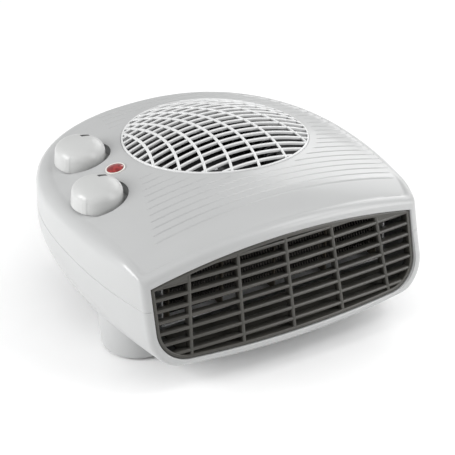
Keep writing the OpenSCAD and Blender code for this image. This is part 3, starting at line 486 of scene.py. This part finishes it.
def coils():
    """Helices along X: the centre turns in Y and Z, and each ring stands square to the wire."""
    form = Form()
    turn = np.linspace(0, COIL_TURNS, COIL_TURNS * COIL_RINGS + 1)
    a = 2 * math.pi * turn
    pitch = 2 * COIL_HALF / COIL_TURNS
    zero = np.zeros(len(a))
    out = np.stack([zero, np.cos(a), np.sin(a)], 1)
    ahead = np.stack([zero + pitch / (2 * math.pi * COIL_R), -np.sin(a), np.cos(a)], 1)
    ahead /= np.linalg.norm(ahead, axis=1)[:, None]
    side = np.cross(ahead, out)
    b = np.linspace(0, 2 * math.pi, WIRE_SIDES, endpoint=False)[None, :, None]
    ring = WIRE_R * (np.cos(b) * out[:, None] + np.sin(b) * side[:, None])
    for k in range(COILS):
        middle = np.stack([-COIL_HALF + pitch * turn, COIL_Y + zero,
                           COIL_Z + k * COIL_STEP + zero], 1)
        form.grid((middle + out * COIL_R)[:, None] + ring, cap=True)
    return form.made("wound_coils")


wire = metal("resistance_wire", (0.13, 0.12, 0.11), 0.4, dull=0.6)
fit(coils(), "case", wire, "heating_coils", sharp=80)
plate = metal("element_sheet", (0.86, 0.86, 0.87), 0.42, stretch=(12, 1, 1), dull=0.8,
              metallic=0.5)
mica = moulded("mica_board", (0.10, 0.085, 0.06), 0.5, shade=0.7, grain=1.2, depth=0.01)
phenolic = moulded("dark_phenolic", (0.045, 0.038, 0.032), 0.5, shade=0.7)
sleeve = moulded("fuse_sleeve", (0.75, 0.75, 0.72), 0.6, grain=0.4, depth=0.01)
dress(plate, "heater_frame")
dress(mica, "element_boards")
dress(phenolic, "thermal_cutout")
dress(sleeve, "thermal_fuse")


# Wiring and controls inside: a moulded terminal block, dark silicone leads, the thermostat and
# the rotary switch with their spindles. The case hides them, and they show once it is opened.
ivory = moulded("ivory_moulding", (0.72, 0.70, 0.62), 0.45, shade=0.9)
silicone = moulded("lead_silicone", (0.02, 0.02, 0.024), 0.5, grain=0.6, depth=0.004)
nylon = moulded("spindle_nylon", (0.72, 0.72, 0.68), 0.4)
dress(ivory, "terminal_block", "selector_switch", "thermostat_body")
dress(silicone, "internal_leads")
dress(nylon, "selector_spindle")
dress(ground_steel, "thermostat_spindle")


# Outlet grille: one satin charcoal moulding that springs into the opening from inside. Eight
# louvres and five fanned ribs follow the front's bulge and webs close its top corners. A charcoal
# sill slopes up behind the lowest louvre to the lip of the duct: a dark sheet of painted shade,
# which hides the lit inside of the case below the duct.
RECESS, GRILLE_FRAME, GRILLE_DEEP, SHORT = 1.0, 2.8, 7.4, 0.05
FRAME_OUTER, FRAME_INNER = [(0, 0.8), (0.25, 0.25), (0.8, 0)], [(0.7, 0), (0.2, 0.25), (0, 0.8)]
LOUVRES, LOUVRE_Z, LOUVRE_STEP, LOUVRE_T = 8, 31.8, 8.02, 3.0
LOUVRE_DEEP, LOUVRE_BACK, NOSE_LONG, TAPER = 6.5, 0.3, 1.25, [(0.6, 0.47), (1.0, 0.40)]
GRILLE_RIBS, RIB_STEP, RIB_FAN, GRILLE_RIB_T = 5, 38.7, math.radians(2.5), 3.0
GRILLE_RIB_DEEP, GRILLE_RIB_BACK, INNER_STEPS = 6.6, 0.05, 400
WEB_START, WEB_V, WEB_LEAST, ARCH_V = 2.5, 25.0, 0.1, 10.0
WEB_SECTION = np.array([(0, 2.6), (0, 0.9), (0.35, 0.6), (1, 0.6), (1, 2.6)])
SILL_FRONT, SILL_BACK, SILL_Y, SILL_Z, SILL_T, SILL_IN = 84.0, 91.0, -91.6, 36.4, 1.4, 0.6


def face_grid(x, y, v):
    """A grid on the leaning face, whose depth y is counted from the bulged front."""
    x, y, v = np.broadcast_arrays(np.asarray(x, float), y, v)
    return on_face(np.stack([x, bulge(x) + y, v], -1))


def reach(loop, v):
    """The largest x of a loop at a height v on the face."""
    after = np.roll(loop, -1, 0)
    crossing = (loop[:, 1] - v) * (after[:, 1] - v) < 0
    a, b = loop[crossing], after[crossing]
    return np.max(a[:, 0] + (b[:, 0] - a[:, 0]) * (v - a[:, 1]) / (b[:, 1] - a[:, 1]))


def ceiling(loop, x):
    """The height of a loop's arched top, which lies above ARCH_V, at places x."""
    top = loop[loop[:, 1] > ARCH_V]
    order = np.argsort(top[:, 0])
    return np.interp(x, top[order, 0], top[order, 1])


def nose(t, deep):
    """Section of a bar with a rounded front and a slight taper: depth and half thickness.

    The front is half an ellipse, NOSE_LONG times as long as it is high. TAPER then gives pairs
    of a share of the depth and a share of the thickness.
    """
    a = np.radians(np.linspace(0, 90, 7))
    front = np.stack([t / 2 * NOSE_LONG * (1 - np.cos(a)), t / 2 * np.sin(a)], 1)
    upper = np.concatenate([front, [(deep * along, t * half) for along, half in TAPER]])
    return np.concatenate([upper, upper[:0:-1] * [1, -1]])


def grille_foot(x):
    """Height on the face of the middle of the frame's lower bar, which rises with x * x."""
    return face_v(OUTLET_BOTTOM) + SNUG + GRILLE_FRAME / 2 + x ** 2 / (2 * RISE_R)


def outlet_louvres(form, inner):
    """Bars across the outlet: the nose's section carried along the bulge at each height."""
    section = nose(LOUVRE_T, LOUVRE_DEEP)
    for j in range(LOUVRES):
        v = face_v(LOUVRE_Z + j * LOUVRE_STEP)
        x = np.linspace(-1, 1, 61)[:, None] * (reach(inner, v) - SHORT)
        rows = face_grid(x, RECESS + LOUVRE_BACK + section[:, 0], v + section[:, 1])
        form.grid(rows, cap=True)


def outlet_ribs(form, inner):
    """Upright bars from the frame's foot to the arch: x goes down by tan(fan angle) times v."""
    section = nose(GRILLE_RIB_T, GRILLE_RIB_DEEP)
    for i in range(-(GRILLE_RIBS // 2), GRILLE_RIBS // 2 + 1):
        v = np.linspace(grille_foot(i * RIB_STEP), ceiling(inner, i * RIB_STEP), 25)[:, None]
        x = i * RIB_STEP - math.tan(RIB_FAN * i) * v + section[:, 1]
        form.grid(face_grid(x, RECESS + GRILLE_RIB_BACK + section[:, 0], v), cap=True)


def outlet_webs(form, inner):
    """Flat webs between the top louvre of a bay and the arch, with their front edges eased.

    WEB_SECTION gives pairs of a share of the web's height and a depth.
    """
    outer = 2 * RIB_STEP - WEB_START
    limits = [(RIB_STEP, outer, LOUVRES - 1), (outer, reach(inner, WEB_V) - SHORT, LOUVRES - 2)]
    for side in (-1, 1):
        for x0, x1, j in limits:
            x = np.linspace(x0, x1, 15)
            low = face_v(LOUVRE_Z + j * LOUVRE_STEP)
            high = np.maximum(ceiling(inner, x), low + WEB_LEAST)[:, None]
            v = low + (high - low) * WEB_SECTION[:, 0]
            form.grid(face_grid(side * x[:, None], RECESS + WEB_SECTION[:, 1], v), cap=True)


def shade_sill(form):
    """A sloping dark sill behind the lowest louvre, up to the lower lip of the duct's mouth:
    painted shade.
    """
    t = np.linspace(-1, 1, 31)[:, None]
    x = t * SILL_FRONT
    front = face_grid(x, RECESS + GRILLE_DEEP - SILL_IN, grille_foot(x))
    back = np.stack([t * SILL_BACK, 0 * t + SILL_Y, 0 * t + SILL_Z], -1)
    down = [0, 0, SILL_T]
    form.grid(np.concatenate([front, back, back - down, front - down], 1), cap=True)


def outlet_insert():
    """The frame's section carried round the outlet's outline, and all that stands inside it.

    FRAME_OUTER and FRAME_INNER ease its front edges: steps in from a side, each with a depth.
    """
    form = Form()
    edge = -SNUG - GRILLE_FRAME
    steps = [(-SNUG, GRILLE_DEEP), *[(-SNUG - side, depth) for side, depth in FRAME_OUTER],
             *[(edge + side, depth) for side, depth in FRAME_INNER], (edge, GRILLE_DEEP)]
    loops = [(outlet_loop(grow), depth) for grow, depth in steps]
    rows = [face_grid(loop[:, 0], RECESS + depth, loop[:, 1]) for loop, depth in loops]
    form.grid(rows, wrap_rows=True)
    inner = outlet_loop(-SNUG - GRILLE_FRAME / 2, INNER_STEPS)
    outlet_louvres(form, inner)
    outlet_ribs(form, inner)
    outlet_webs(form, inner)
    shade_sill(form)
    return form.made("outlet_insert")


charcoal = moulded("outlet_charcoal", (0.048, 0.046, 0.040), 0.31, shade=1.35, grain=0.35,
                   depth=0.003)
fit(outlet_insert(), "case", charcoal, "outlet_grille", sharp=40)


# Upper shell: the crowned lid, moulded in the same grey as the tub. A long arc from front to
# back rolls over at the brow, shallow V grooves run across it, and it has the inlet's hole with
# a ledge below, a round pocket for each knob and the upper half of the outlet.
TOP_Z, TOP_Y, TOP_RX, TOP_RY, EDGE_GUESS = 110.8, -41.0, 375.0, 690.0, 10.0
BROW_Y, BROW_LEN, BROW_DROP = -97.0, 25.0, 7.0
SHOULDER_R, SHOULDER_AHEAD, SHOULDER_OVER = 11.0, 104.0, 45.0
INLET, INLET_R = np.array([18.0, 25.0]), 68.4
LEDGE_Z, LEDGE_W, LEDGE_T, COLLAR_W, COLLAR_DROPS = 91.0, 2.5, 1.2, 2.6, ((0, 0.4), (5, 1.5))
SELECTOR, THERMOSTAT, POCKET_R, POCKET_DEEP = (-76.3, 55.7), (-93.2, -4.3), 22.0, 3.7
CUP_RADII, CUP_UNDER, CUP_DIP, CUP_WALL = (4.2, 10, 16, 20, POCKET_R), 0.03, 0.05, 1.8
CUP_RIM_DROP, CUP_RIM_LEAST, CUP_FLANGE, CUP_FLANGE_DROP = 0.35, 0.02, 0.08, 0.4
LAMP, LAMP_R, LAMP_CUT_Z, OVER_Z = (-66.7, 19.1), 6.0, 80.0, 130.0
GROOVES, GROOVE_Y, GROOVE_STEP, GROOVE_GAIN = 30, -79.0, 7.0, 0.03
GROOVE_W, GROOVE_H, GROOVE_START, GROOVE_OVER, RUN_OUT = 1.6, 0.7, 0.12, 0.6, 5.0
GROOVE_RIGHT, GROOVE_LEAST, INLET_CLEAR, LEFT_TURN = 9.0, 9.0, 4.0, 8.0
LEFT_AHEAD, LEFT_BEHIND = (80.0, 0.375, 90.0), (-60.0, 0.2, 46.0)


def fall(d, r):
    """How far a circle of radius r lies below its highest point at a distance d."""
    return r - np.sqrt(r * r - np.square(d))


def crown(x, y):
    """Height of the top: an arc along Y, one across X, and the brow's roll over at the front."""
    brow = BROW_DROP * np.maximum(0, 1 - (y - BROW_Y) / BROW_LEN) ** 2
    return TOP_Z - fall(y - TOP_Y, TOP_RY) - brow - fall(x, TOP_RX)


def shoulder(angle, w):
    """A ring of the rounded edge between the wall, at 0, and the top, at a quarter turn.

    The height of its upper end is the crown's there, found in three steps.
    """
    full = EDGE_R + (SHOULDER_R - EDGE_R) * blend((PLAN[:, 1] + SHOULDER_AHEAD) / SHOULDER_OVER)
    share = front_share(PLAN[:, 1])
    edge = np.full(len(PLAN), TOP_Z - EDGE_GUESS)
    for _ in range(3):
        ring = wall_ring(full, edge, 0)
        edge = crown(ring[:, 0], ring[:, 1] + full * share)
    r = full - w
    u = r * (1 - math.cos(angle))
    ring = wall_ring(u, edge - w - r * (1 - math.sin(angle)), w)
    ring[:, 1] += u * share
    return ring


def top_ring(k, w):
    """A ring of the top, from the shoulder at k = 0 to the inlet's hole at k = 1."""
    rim = shoulder(math.pi / 2, w)[:, :2]
    ray = rim - INLET
    goal = INLET + ray / np.linalg.norm(ray, axis=1)[:, None] * (INLET_R + SNUG)
    p = rim + (goal - rim) * k
    return np.stack([p[:, 0], p[:, 1], crown(p[:, 0], p[:, 1]) - w], 1)


def half_width(y):
    """Half the plan's width at a place y."""
    behind = np.clip((y - WIDE_Y) / BACK_D, 0, 1)
    ahead = SIDE_C[0] + np.sqrt(SIDE_R ** 2 - np.minimum(y - WIDE_Y, 0) ** 2)
    return np.where(y > WIDE_Y, HALF_W * (1 - behind ** BACK_N) ** (1 / BACK_N), ahead)


def groove(form, y, x0, x1):
    """A V cutter across the top, square to the crown, that runs out at both ends."""
    x = np.linspace(x0, x1, max(6, int((x1 - x0) / 4)))[:, None]
    inside = blend(np.minimum(x - x0, x1 - x) / RUN_OUT)
    deep = -GROOVE_START + (GROOVE_H + GROOVE_START) * inside
    up = np.concatenate([x / TOP_RX, 0 * x + (y - TOP_Y) / TOP_RY, 0 * x + 1], 1)
    base = np.concatenate([x, 0 * x + y, crown(x, y)], 1)
    half = np.array([0, GROOVE_W / 2 * (1 + GROOVE_OVER / GROOVE_H), 0])
    over = base + up * GROOVE_OVER
    form.grid(np.stack([base - up * deep, over + half, over - half], 1), cap=True)


def grooves():
    """All the cutters: whole runs ahead of the inlet and behind it, and two runs beside it.

    The left ends follow a straight line ahead of LEFT_TURN and another behind it. The right
    ends keep a distance from the side, and the inner ones a ring round the inlet clear.
    """
    form = Form()
    for k in range(GROOVES):
        y = GROOVE_Y + GROOVE_STEP * k + GROOVE_GAIN * k * k
        shift, slope, back = LEFT_AHEAD if y < LEFT_TURN else LEFT_BEHIND
        left = (y + shift) * slope - back
        right = float(half_width(np.array(y))) - GROOVE_RIGHT
        clear = (INLET_R + INLET_CLEAR) ** 2 - (y - INLET[1]) ** 2
        gap = math.sqrt(clear) if clear > 0 else 0
        runs = [(left, INLET[0] - gap), (INLET[0] + gap, right)] if gap else [(left, right)]
        for x0, x1 in runs:
            if x1 - x0 > GROOVE_LEAST:
                groove(form, y, x0, x1)
    return form


def skin_z(x, y):
    """Height of the lid's skin, with the shoulder's fall counted from the plan's half width."""
    near = np.clip(SHOULDER_R - (half_width(y) - np.abs(x)), 0, SHOULDER_R)
    return crown(x, y) - fall(near, SHOULDER_R)


def pocket(form, centre):
    """A round cup for a knob: its floor is flat, and dips under the skin where that is lower.

    A rim goes up to just below the skin, with a narrow flange outside it.
    """
    base = float(crown(*centre)) - POCKET_DEEP
    rings = lathe([(r, base) for r in CUP_RADII], centre)
    skin = skin_z(rings[..., 0], rings[..., 1])
    rings[..., 2] = np.minimum(base - CUP_UNDER, skin - CUP_DIP)
    rim = rings[-1:].copy()
    rim[..., 2] = np.maximum(skin[-1:] - CUP_RIM_DROP, rim[..., 2] + CUP_RIM_LEAST)
    flange = (rim - [*centre, 0]) * [CUP_FLANGE, CUP_FLANGE, 0]
    back = rim + flange - [0, 0, CUP_FLANGE_DROP]
    under = rings[::-1] - [0, 0, CUP_WALL]
    form.grid(np.concatenate([rings, rim, back, under]), wrap_rows=True)


def inlet_collar(form):
    """The collar below the inlet's hole, with the ledge that the grille stands on.

    Its first and its last ring follow the crown, COLLAR_DROPS below it.
    """
    hole, ledge, low = INLET_R + SNUG, INLET_R - LEDGE_W, LEDGE_Z - LEDGE_T
    steps = [(hole, LEDGE_Z), (hole, LEDGE_Z), (ledge, LEDGE_Z), (ledge, low),
             (hole + COLLAR_W, low), (hole + COLLAR_W, LEDGE_Z)]
    rows = lathe(steps, INLET, 192)
    for k, drop in COLLAR_DROPS:
        rows[k, :, 2] = crown(rows[k, :, 0], rows[k, :, 1]) - drop
    form.grid(rows, wrap_rows=True)


def case_lid():
    """Rings from the rim over the shoulder to the inlet's hole, and back below the skin."""
    angles = np.radians(np.linspace(0, 90, 13))
    outer = [wall_ring(0, PART_Z, WALL), wall_ring(0, PART_Z, SEAM),
             wall_ring(0, PART_Z + SEAM, 0)]
    outer += [shoulder(a, 0) for a in angles] + [top_ring(k, 0) for k in np.linspace(0, 1, 50)[1:]]
    inner = [top_ring(k, WALL) for k in (1, 0.75, 0.5, 0.25)]
    inner += [shoulder(a, WALL) for a in angles[::-3]]
    lid = Form().grid(outer + inner, wrap_rows=True).made("case_lid")
    cut(lid, outlet_way())
    for centre in (SELECTOR, THERMOSTAT):
        cut(lid, drum(centre, POCKET_R, float(crown(*centre)) - POCKET_DEEP, OVER_Z))
    cut(lid, drum(LAMP, LAMP_R + SNUG, LAMP_CUT_Z, OVER_Z))
    cut(lid, grooves())
    below = Form()
    pocket(below, SELECTOR)
    pocket(below, THERMOSTAT)
    inlet_collar(below)
    return joined(lid, below.made("lid_cups"))


fit(case_lid(), "case", case_grey, "upper_shell")


# Inlet grille: a round insert, moulded in one piece. Thin bars run straight across it, and
# eight ribs, bent like the vanes of a fan, run over them from front to back. Both follow a
# shallow dome inside a thin rim that stands just above the lid. Its grey is set lighter than
# the case's: painted light, for the lit tops of the bars.
DOME_H, RIM_H, RIM_W, RIM_Z = 8.6, 1.0, 1.4, LEDGE_Z + 0.02
RIM_OUTER, RIM_INNER = [(0, 0.6), (0.2, 0.2), (0.6, 0)], [(0.5, 0), (0.1, 0.2), (0, 0.6)]
BARS, BAR_STEP, BAR_T, BAR_DEEP, BAR_Y = 17, 7.61, 1.9, 2.4, 24.9
BAR_ROUND, BAR_FOOT, BAR_INTO = 0.9, 0.30, 0.4
RIB_T, RIB_BEND, RIB_LESS, RIB_PROUD = 2.1, -0.0044, 0.6, 0.12
RIBS = [(-38.8, 0.18), (-25.3, 0.03), (-12.9, -0.10), (1.5, -0.19), (16.9, -0.28), (34.9, -0.36),
        (57.0, -0.45), (79.0, -0.50)]


def dome(x, y):
    """Height of the bars' tops: the crown, the rim's height, and a paraboloid above."""
    away = np.square(x - INLET[0]) + np.square(y - INLET[1])
    return crown(x, y) + RIM_H + DOME_H * (1 - away / INLET_R ** 2)


def rounded(t, deep):
    """Section of a bar that hangs down from its rounded top: across and down.

    The top is half an ellipse, BAR_ROUND times as deep as half the thickness.
    """
    a = np.radians(np.linspace(-90, 90, 9))
    top = np.stack([t / 2 * np.sin(a), t / 2 * BAR_ROUND * (1 - np.cos(a))], 1)
    return np.concatenate([top, [(t * BAR_FOOT, deep), (-t * BAR_FOOT, deep)]])


def bent_rib(form, middle, lean, inside):
    """A rib in plan: x = middle + lean * w + RIB_BEND * w * w, with w counted from the centre."""
    w = np.linspace(-inside, inside, 2001)
    x = middle + lean * w + RIB_BEND * w * w
    w = w[np.hypot(x - INLET[0], w) < inside]
    w = np.linspace(w[0], w[-1], 49)[:, None]
    slope = lean + 2 * RIB_BEND * w
    across, down = rounded(RIB_T, BAR_DEEP - RIB_LESS).T
    x = middle + lean * w + RIB_BEND * w * w + across / np.hypot(1, slope)
    y = INLET[1] + w - across * slope / np.hypot(1, slope)
    form.grid(np.stack([x, y, dome(x, y) + RIB_PROUD - down], -1), cap=True)


def inlet_insert():
    """Bars and ribs as long as their chord of the rim, and the rim, whose top follows the crown.

    RIM_OUTER and RIM_INNER ease its top edges: steps in from a side, each with a drop.
    """
    form = Form()
    inside = INLET_R - RIM_W + BAR_INTO
    across, down = rounded(BAR_T, BAR_DEEP).T
    for k in range(BARS):
        y = BAR_Y + (k - BARS // 2) * BAR_STEP
        half = math.sqrt(inside ** 2 - (y - INLET[1]) ** 2)
        x = (INLET[0] + np.linspace(-half, half, 41))[:, None] + 0 * across
        form.grid(np.stack([x, y + across + 0 * x, dome(x, y) - down], -1), cap=True)
    for middle, lean in RIBS:
        bent_rib(form, middle, lean, inside)
    r0, r1 = INLET_R - RIM_W, INLET_R
    steps = [(r1, 0), *[(r1 - side, RIM_H - drop) for side, drop in RIM_OUTER],
             *[(r0 + side, RIM_H - drop) for side, drop in RIM_INNER], (r0, 0)]
    rows = lathe(steps, INLET, 192)
    rows[1:-1, :, 2] += crown(rows[1:-1, :, 0], rows[1:-1, :, 1])
    rows[[0, -1], :, 2] = RIM_Z
    form.grid(rows, wrap_rows=True)
    return form.made("inlet_insert")


# Lighter than the case grey: painted light on the tops of the bars.
inlet_lit_grey = moulded("inlet_grey_painted_light", (0.68, 0.685, 0.685), 0.31, coat_weight=0.15)
fit(inlet_insert(), "case", inlet_lit_grey, "inlet_grille")


# Knobs: two hollow caps of glossy pale plastic pushed on their spindles. Each has a domed top
# that rounds into its skirt, a low raised pointer on its side, and near its edge a slot. A black
# body fills the slot up to just above the dome: painted shade, for the shadow inside the slot.
KNOB_R, KNOB_H, KNOB_DOME, KNOB_SINK, KNOB_LIFT = 18.8, 14.2, 10.0, 2.4, -1.1
KNOB_TOP, SKIRT_R, KNOB_FULL = KNOB_SINK + KNOB_H, KNOB_R - 0.6, 0.8
FOOT_W, FOOT_EASE = 2.2, 0.4
HOLLOW = [(KNOB_R - 11, 3.2), (KNOB_R - 3, 10.5)]
POINTER_A, POINTER_HALF, POINTER_H, POINTER_TOP, POINTER_OVER = -147.0, 7.0, 0.3, 1.2, 8.0
SLOT_PLACE, SLOT_SIZE, SLOT_TURN = (7.4, 6.1), (6.8, 3.3), math.radians(2)
SLOT_DEEP, SLOT_ABOVE, SHADE_PROUD, SHADE_FACES = 3.6, 4.0, 0.05, 6


def knob_cap(centre, base, name):
    """A lathe profile from the skirt's foot over the dome, closed by the hollow below it.

    The dome's radius goes with cos(a) ** KNOB_FULL and its height with the sine's. Near the
    pointer's angle the skirt stands out by the pointer's height.
    """
    a = np.radians(np.linspace(0, 89.9, 28))
    skirt = np.stack([SKIRT_R * np.cos(a) ** KNOB_FULL,
                      KNOB_TOP - KNOB_DOME * (1 - np.sin(a) ** KNOB_FULL)], 1)
    foot = [(KNOB_R - FOOT_W, KNOB_LIFT), (KNOB_R - FOOT_EASE, KNOB_LIFT),
            (KNOB_R, KNOB_LIFT + FOOT_EASE)]
    under = [(POLE_R, KNOB_TOP - 2.2), *[(r, KNOB_TOP - drop) for r, drop in HOLLOW]]
    profile = np.concatenate([foot, skirt, under])
    rings = lathe(profile, (0, 0), 240)
    turn = np.degrees(np.arctan2(rings[..., 1], rings[..., 0]))
    side = blend((KNOB_TOP - POINTER_TOP - rings[..., 2]) / POINTER_OVER)
    side = side * (rings[..., 2] > KNOB_LIFT + 0.1)
    outer = (np.arange(len(profile)) < len(foot) + len(skirt))[:, None]
    out = POINTER_H * (np.abs(turn - POINTER_A) < POINTER_HALF) * side * outer
    away = np.maximum(np.hypot(rings[..., 0], rings[..., 1]), 1)
    rings[..., :2] *= 1 + (out / away)[..., None]
    return Form().grid(rings + [*centre, base], wrap_rows=True).made(name)


def knob(centre, name):
    """The cap with its slot cut out, and a black body in the slot up to just above the dome,
    painted shade.

    The dome's height at a share of the radius is (1 - share ** (2 / n)) ** (n / 2).
    """
    base = float(crown(*centre)) - KNOB_SINK
    cap = knob_cap(centre, base, name)
    c, s = math.cos(SLOT_TURN), math.sin(SLOT_TURN)
    x = np.array([-1, 1, 1, -1]) * SLOT_SIZE[0] / 2
    y = np.array([-1, -1, 1, 1]) * SLOT_SIZE[1] / 2
    plan = np.stack([centre[0] + SLOT_PLACE[0] + c * x - s * y,
                     centre[1] + SLOT_PLACE[1] + s * x + c * y], 1)
    levels = (KNOB_TOP - SLOT_DEEP, KNOB_TOP + SLOT_ABOVE)
    rows = [np.concatenate([plan, np.full((4, 1), base + z)], 1) for z in levels]
    cut(cap, Form().grid(rows, cap=True))
    share = np.hypot(*(plan - centre).T) / SKIRT_R
    rise = (1 - share ** (2 / KNOB_FULL)) ** (KNOB_FULL / 2)
    rows[1][:, 2] = base + KNOB_TOP - KNOB_DOME * (1 - rise) + SHADE_PROUD
    return joined(cap, Form().grid(rows, cap=True).made("slot_shade_body"))


knob_grey = moulded("knob_grey", (0.50, 0.505, 0.50), 0.34, shade=0.97, coat_weight=0.1)
# The slot's black is painted shade, for the shadow inside the slot.
slot_painted_shade = moulded("slot_painted_shade", (0.02, 0.02, 0.02), 0.5, shade=0.7)
for centre, name in ((SELECTOR, "selector"), (THERMOSTAT, "thermostat")):
    cap = knob(centre, name + "_cap")
    fit(cap, name + "_control", knob_grey, name + "_knob", sharp=45)
    cap.data.materials.append(slot_painted_shade.material)
    faces = cap.data.polygons
    painted_shade = np.arange(len(faces)) >= len(faces) - SHADE_FACES
    faces.foreach_set("material_index", painted_shade.astype(int))


# Indicator lamp: a domed lens of clear red plastic, pressed into the lid inside a thin pale
# ring. A small glass glow tube stands in the hollow below it.
def lens_red():
    """Clear red plastic: lighter red patches are painted glints of moulded facets inside the dome,
    over a faint bump.
    """
    finish = Finish("lens_red", (0.18, 0.008, 0.008), 0.12, coat_weight=0.6, coat_roughness=0.05)
    # Lighter red patches: painted glints of the facets inside the dome.
    finish.tint(finish.noise(size=3.0, detail=2).step(0.35, 0.7), (0.34, 0.03, 0.028))
    finish.gloss(finish.noise(size=2.5, detail=2), spread=0.12)
    finish.relief(finish.noise(size=1.6, detail=1), depth=0.05)
    return finish


dress(lens_red(), "lamp_lens")
dress(moulded("bezel_white", (0.74, 0.72, 0.68), 0.35), "lamp_bezel")
dress(moulded("neon_glass", (0.70, 0.42, 0.32), 0.15), "neon_lamp")


# Studio: a pale floor, a bright surround and large soft lamps, as for a catalogue picture. The
# camera stands left of the front and looks down through a long lens, as in the photograph.
VIEW_AZ, VIEW_EL = math.radians(-29.97), math.radians(31.5)
VIEW_DIST, VIEW_SHIFT = 1639.5, (0.693, -1.395)
VIEW_TARGET = np.array([0.0, -23.0, 57.0])
FOCUS_PX, SIDE_PX, SENSOR = 2283.17, 455, 36.0
FLOOR_HALF, SURROUND_WHITE, SURROUND_STRENGTH = 3000.0, (1, 1, 1, 1), 0.53
LAMPS = [("left_soft_box", -100, 24, 1000, 500, 7.2), ("top_soft_box", 20, 78, 1100, 900, 1.4),
         ("right_soft_box", 110, 32, 1100, 600, 2.4), ("rear_soft_box", 135, 22, 1000, 420, 1.3),
         ("front_soft_box", 50, 50, 1000, 350, 1.8),
         ("low_front_soft_box", 42, 20, 1000, 500, 3.4)]


def stand(thing, azimuth, elevation, distance, shift=(0, 0)):
    """Puts a camera or lamp where it looks at the heater from an azimuth off the front."""
    back = np.array([math.sin(azimuth) * math.cos(elevation),
                     -math.cos(azimuth) * math.cos(elevation), math.sin(elevation)])
    right = np.array([math.cos(azimuth), math.sin(azimuth), 0.0])
    up = np.cross(back, right)
    place = (VIEW_TARGET + right * shift[0] + up * shift[1] + back * distance) * MM
    rows = [[right[i], up[i], back[i], place[i]] for i in range(3)]
    thing.matrix_world = Matrix(rows + [[0, 0, 0, 1]])
    bpy.context.collection.objects.link(thing)


def lamp(name, azimuth, elevation, distance, size, watts):
    """A square soft box, its angles in degrees and lengths in mm."""
    light = bpy.data.lights.new(name, "AREA")
    light.size, light.energy = size * MM, watts
    thing = bpy.data.objects.new(name, light)
    stand(thing, math.radians(azimuth), math.radians(elevation), distance)


lens = bpy.data.cameras.new("camera")
lens.sensor_width, lens.lens = SENSOR, FOCUS_PX / SIDE_PX * SENSOR
camera = bpy.data.objects.new("camera", lens)
stand(camera, VIEW_AZ, VIEW_EL, VIEW_DIST, VIEW_SHIFT)
bpy.context.scene.camera = camera
for numbers in LAMPS:
    lamp(*numbers)
world = bpy.data.worlds.new("surround")
world.use_nodes = True
surround = world.node_tree.nodes["Background"].inputs
surround["Color"].default_value, surround["Strength"].default_value = (
    SURROUND_WHITE, SURROUND_STRENGTH)
bpy.context.scene.world = world
bpy.context.scene.view_settings.view_transform = "Standard"
ends = np.array([-FLOOR_HALF, FLOOR_HALF])
floor_grid = Form().grid([[(x, y, 0) for x in ends] for y in ends], wrap_columns=False)
sheet = floor_grid.made("pale_floor")
sheet.data.materials.append(moulded("floor_paper", (0.95, 0.95, 0.95), 0.7, shade=0.985).material)
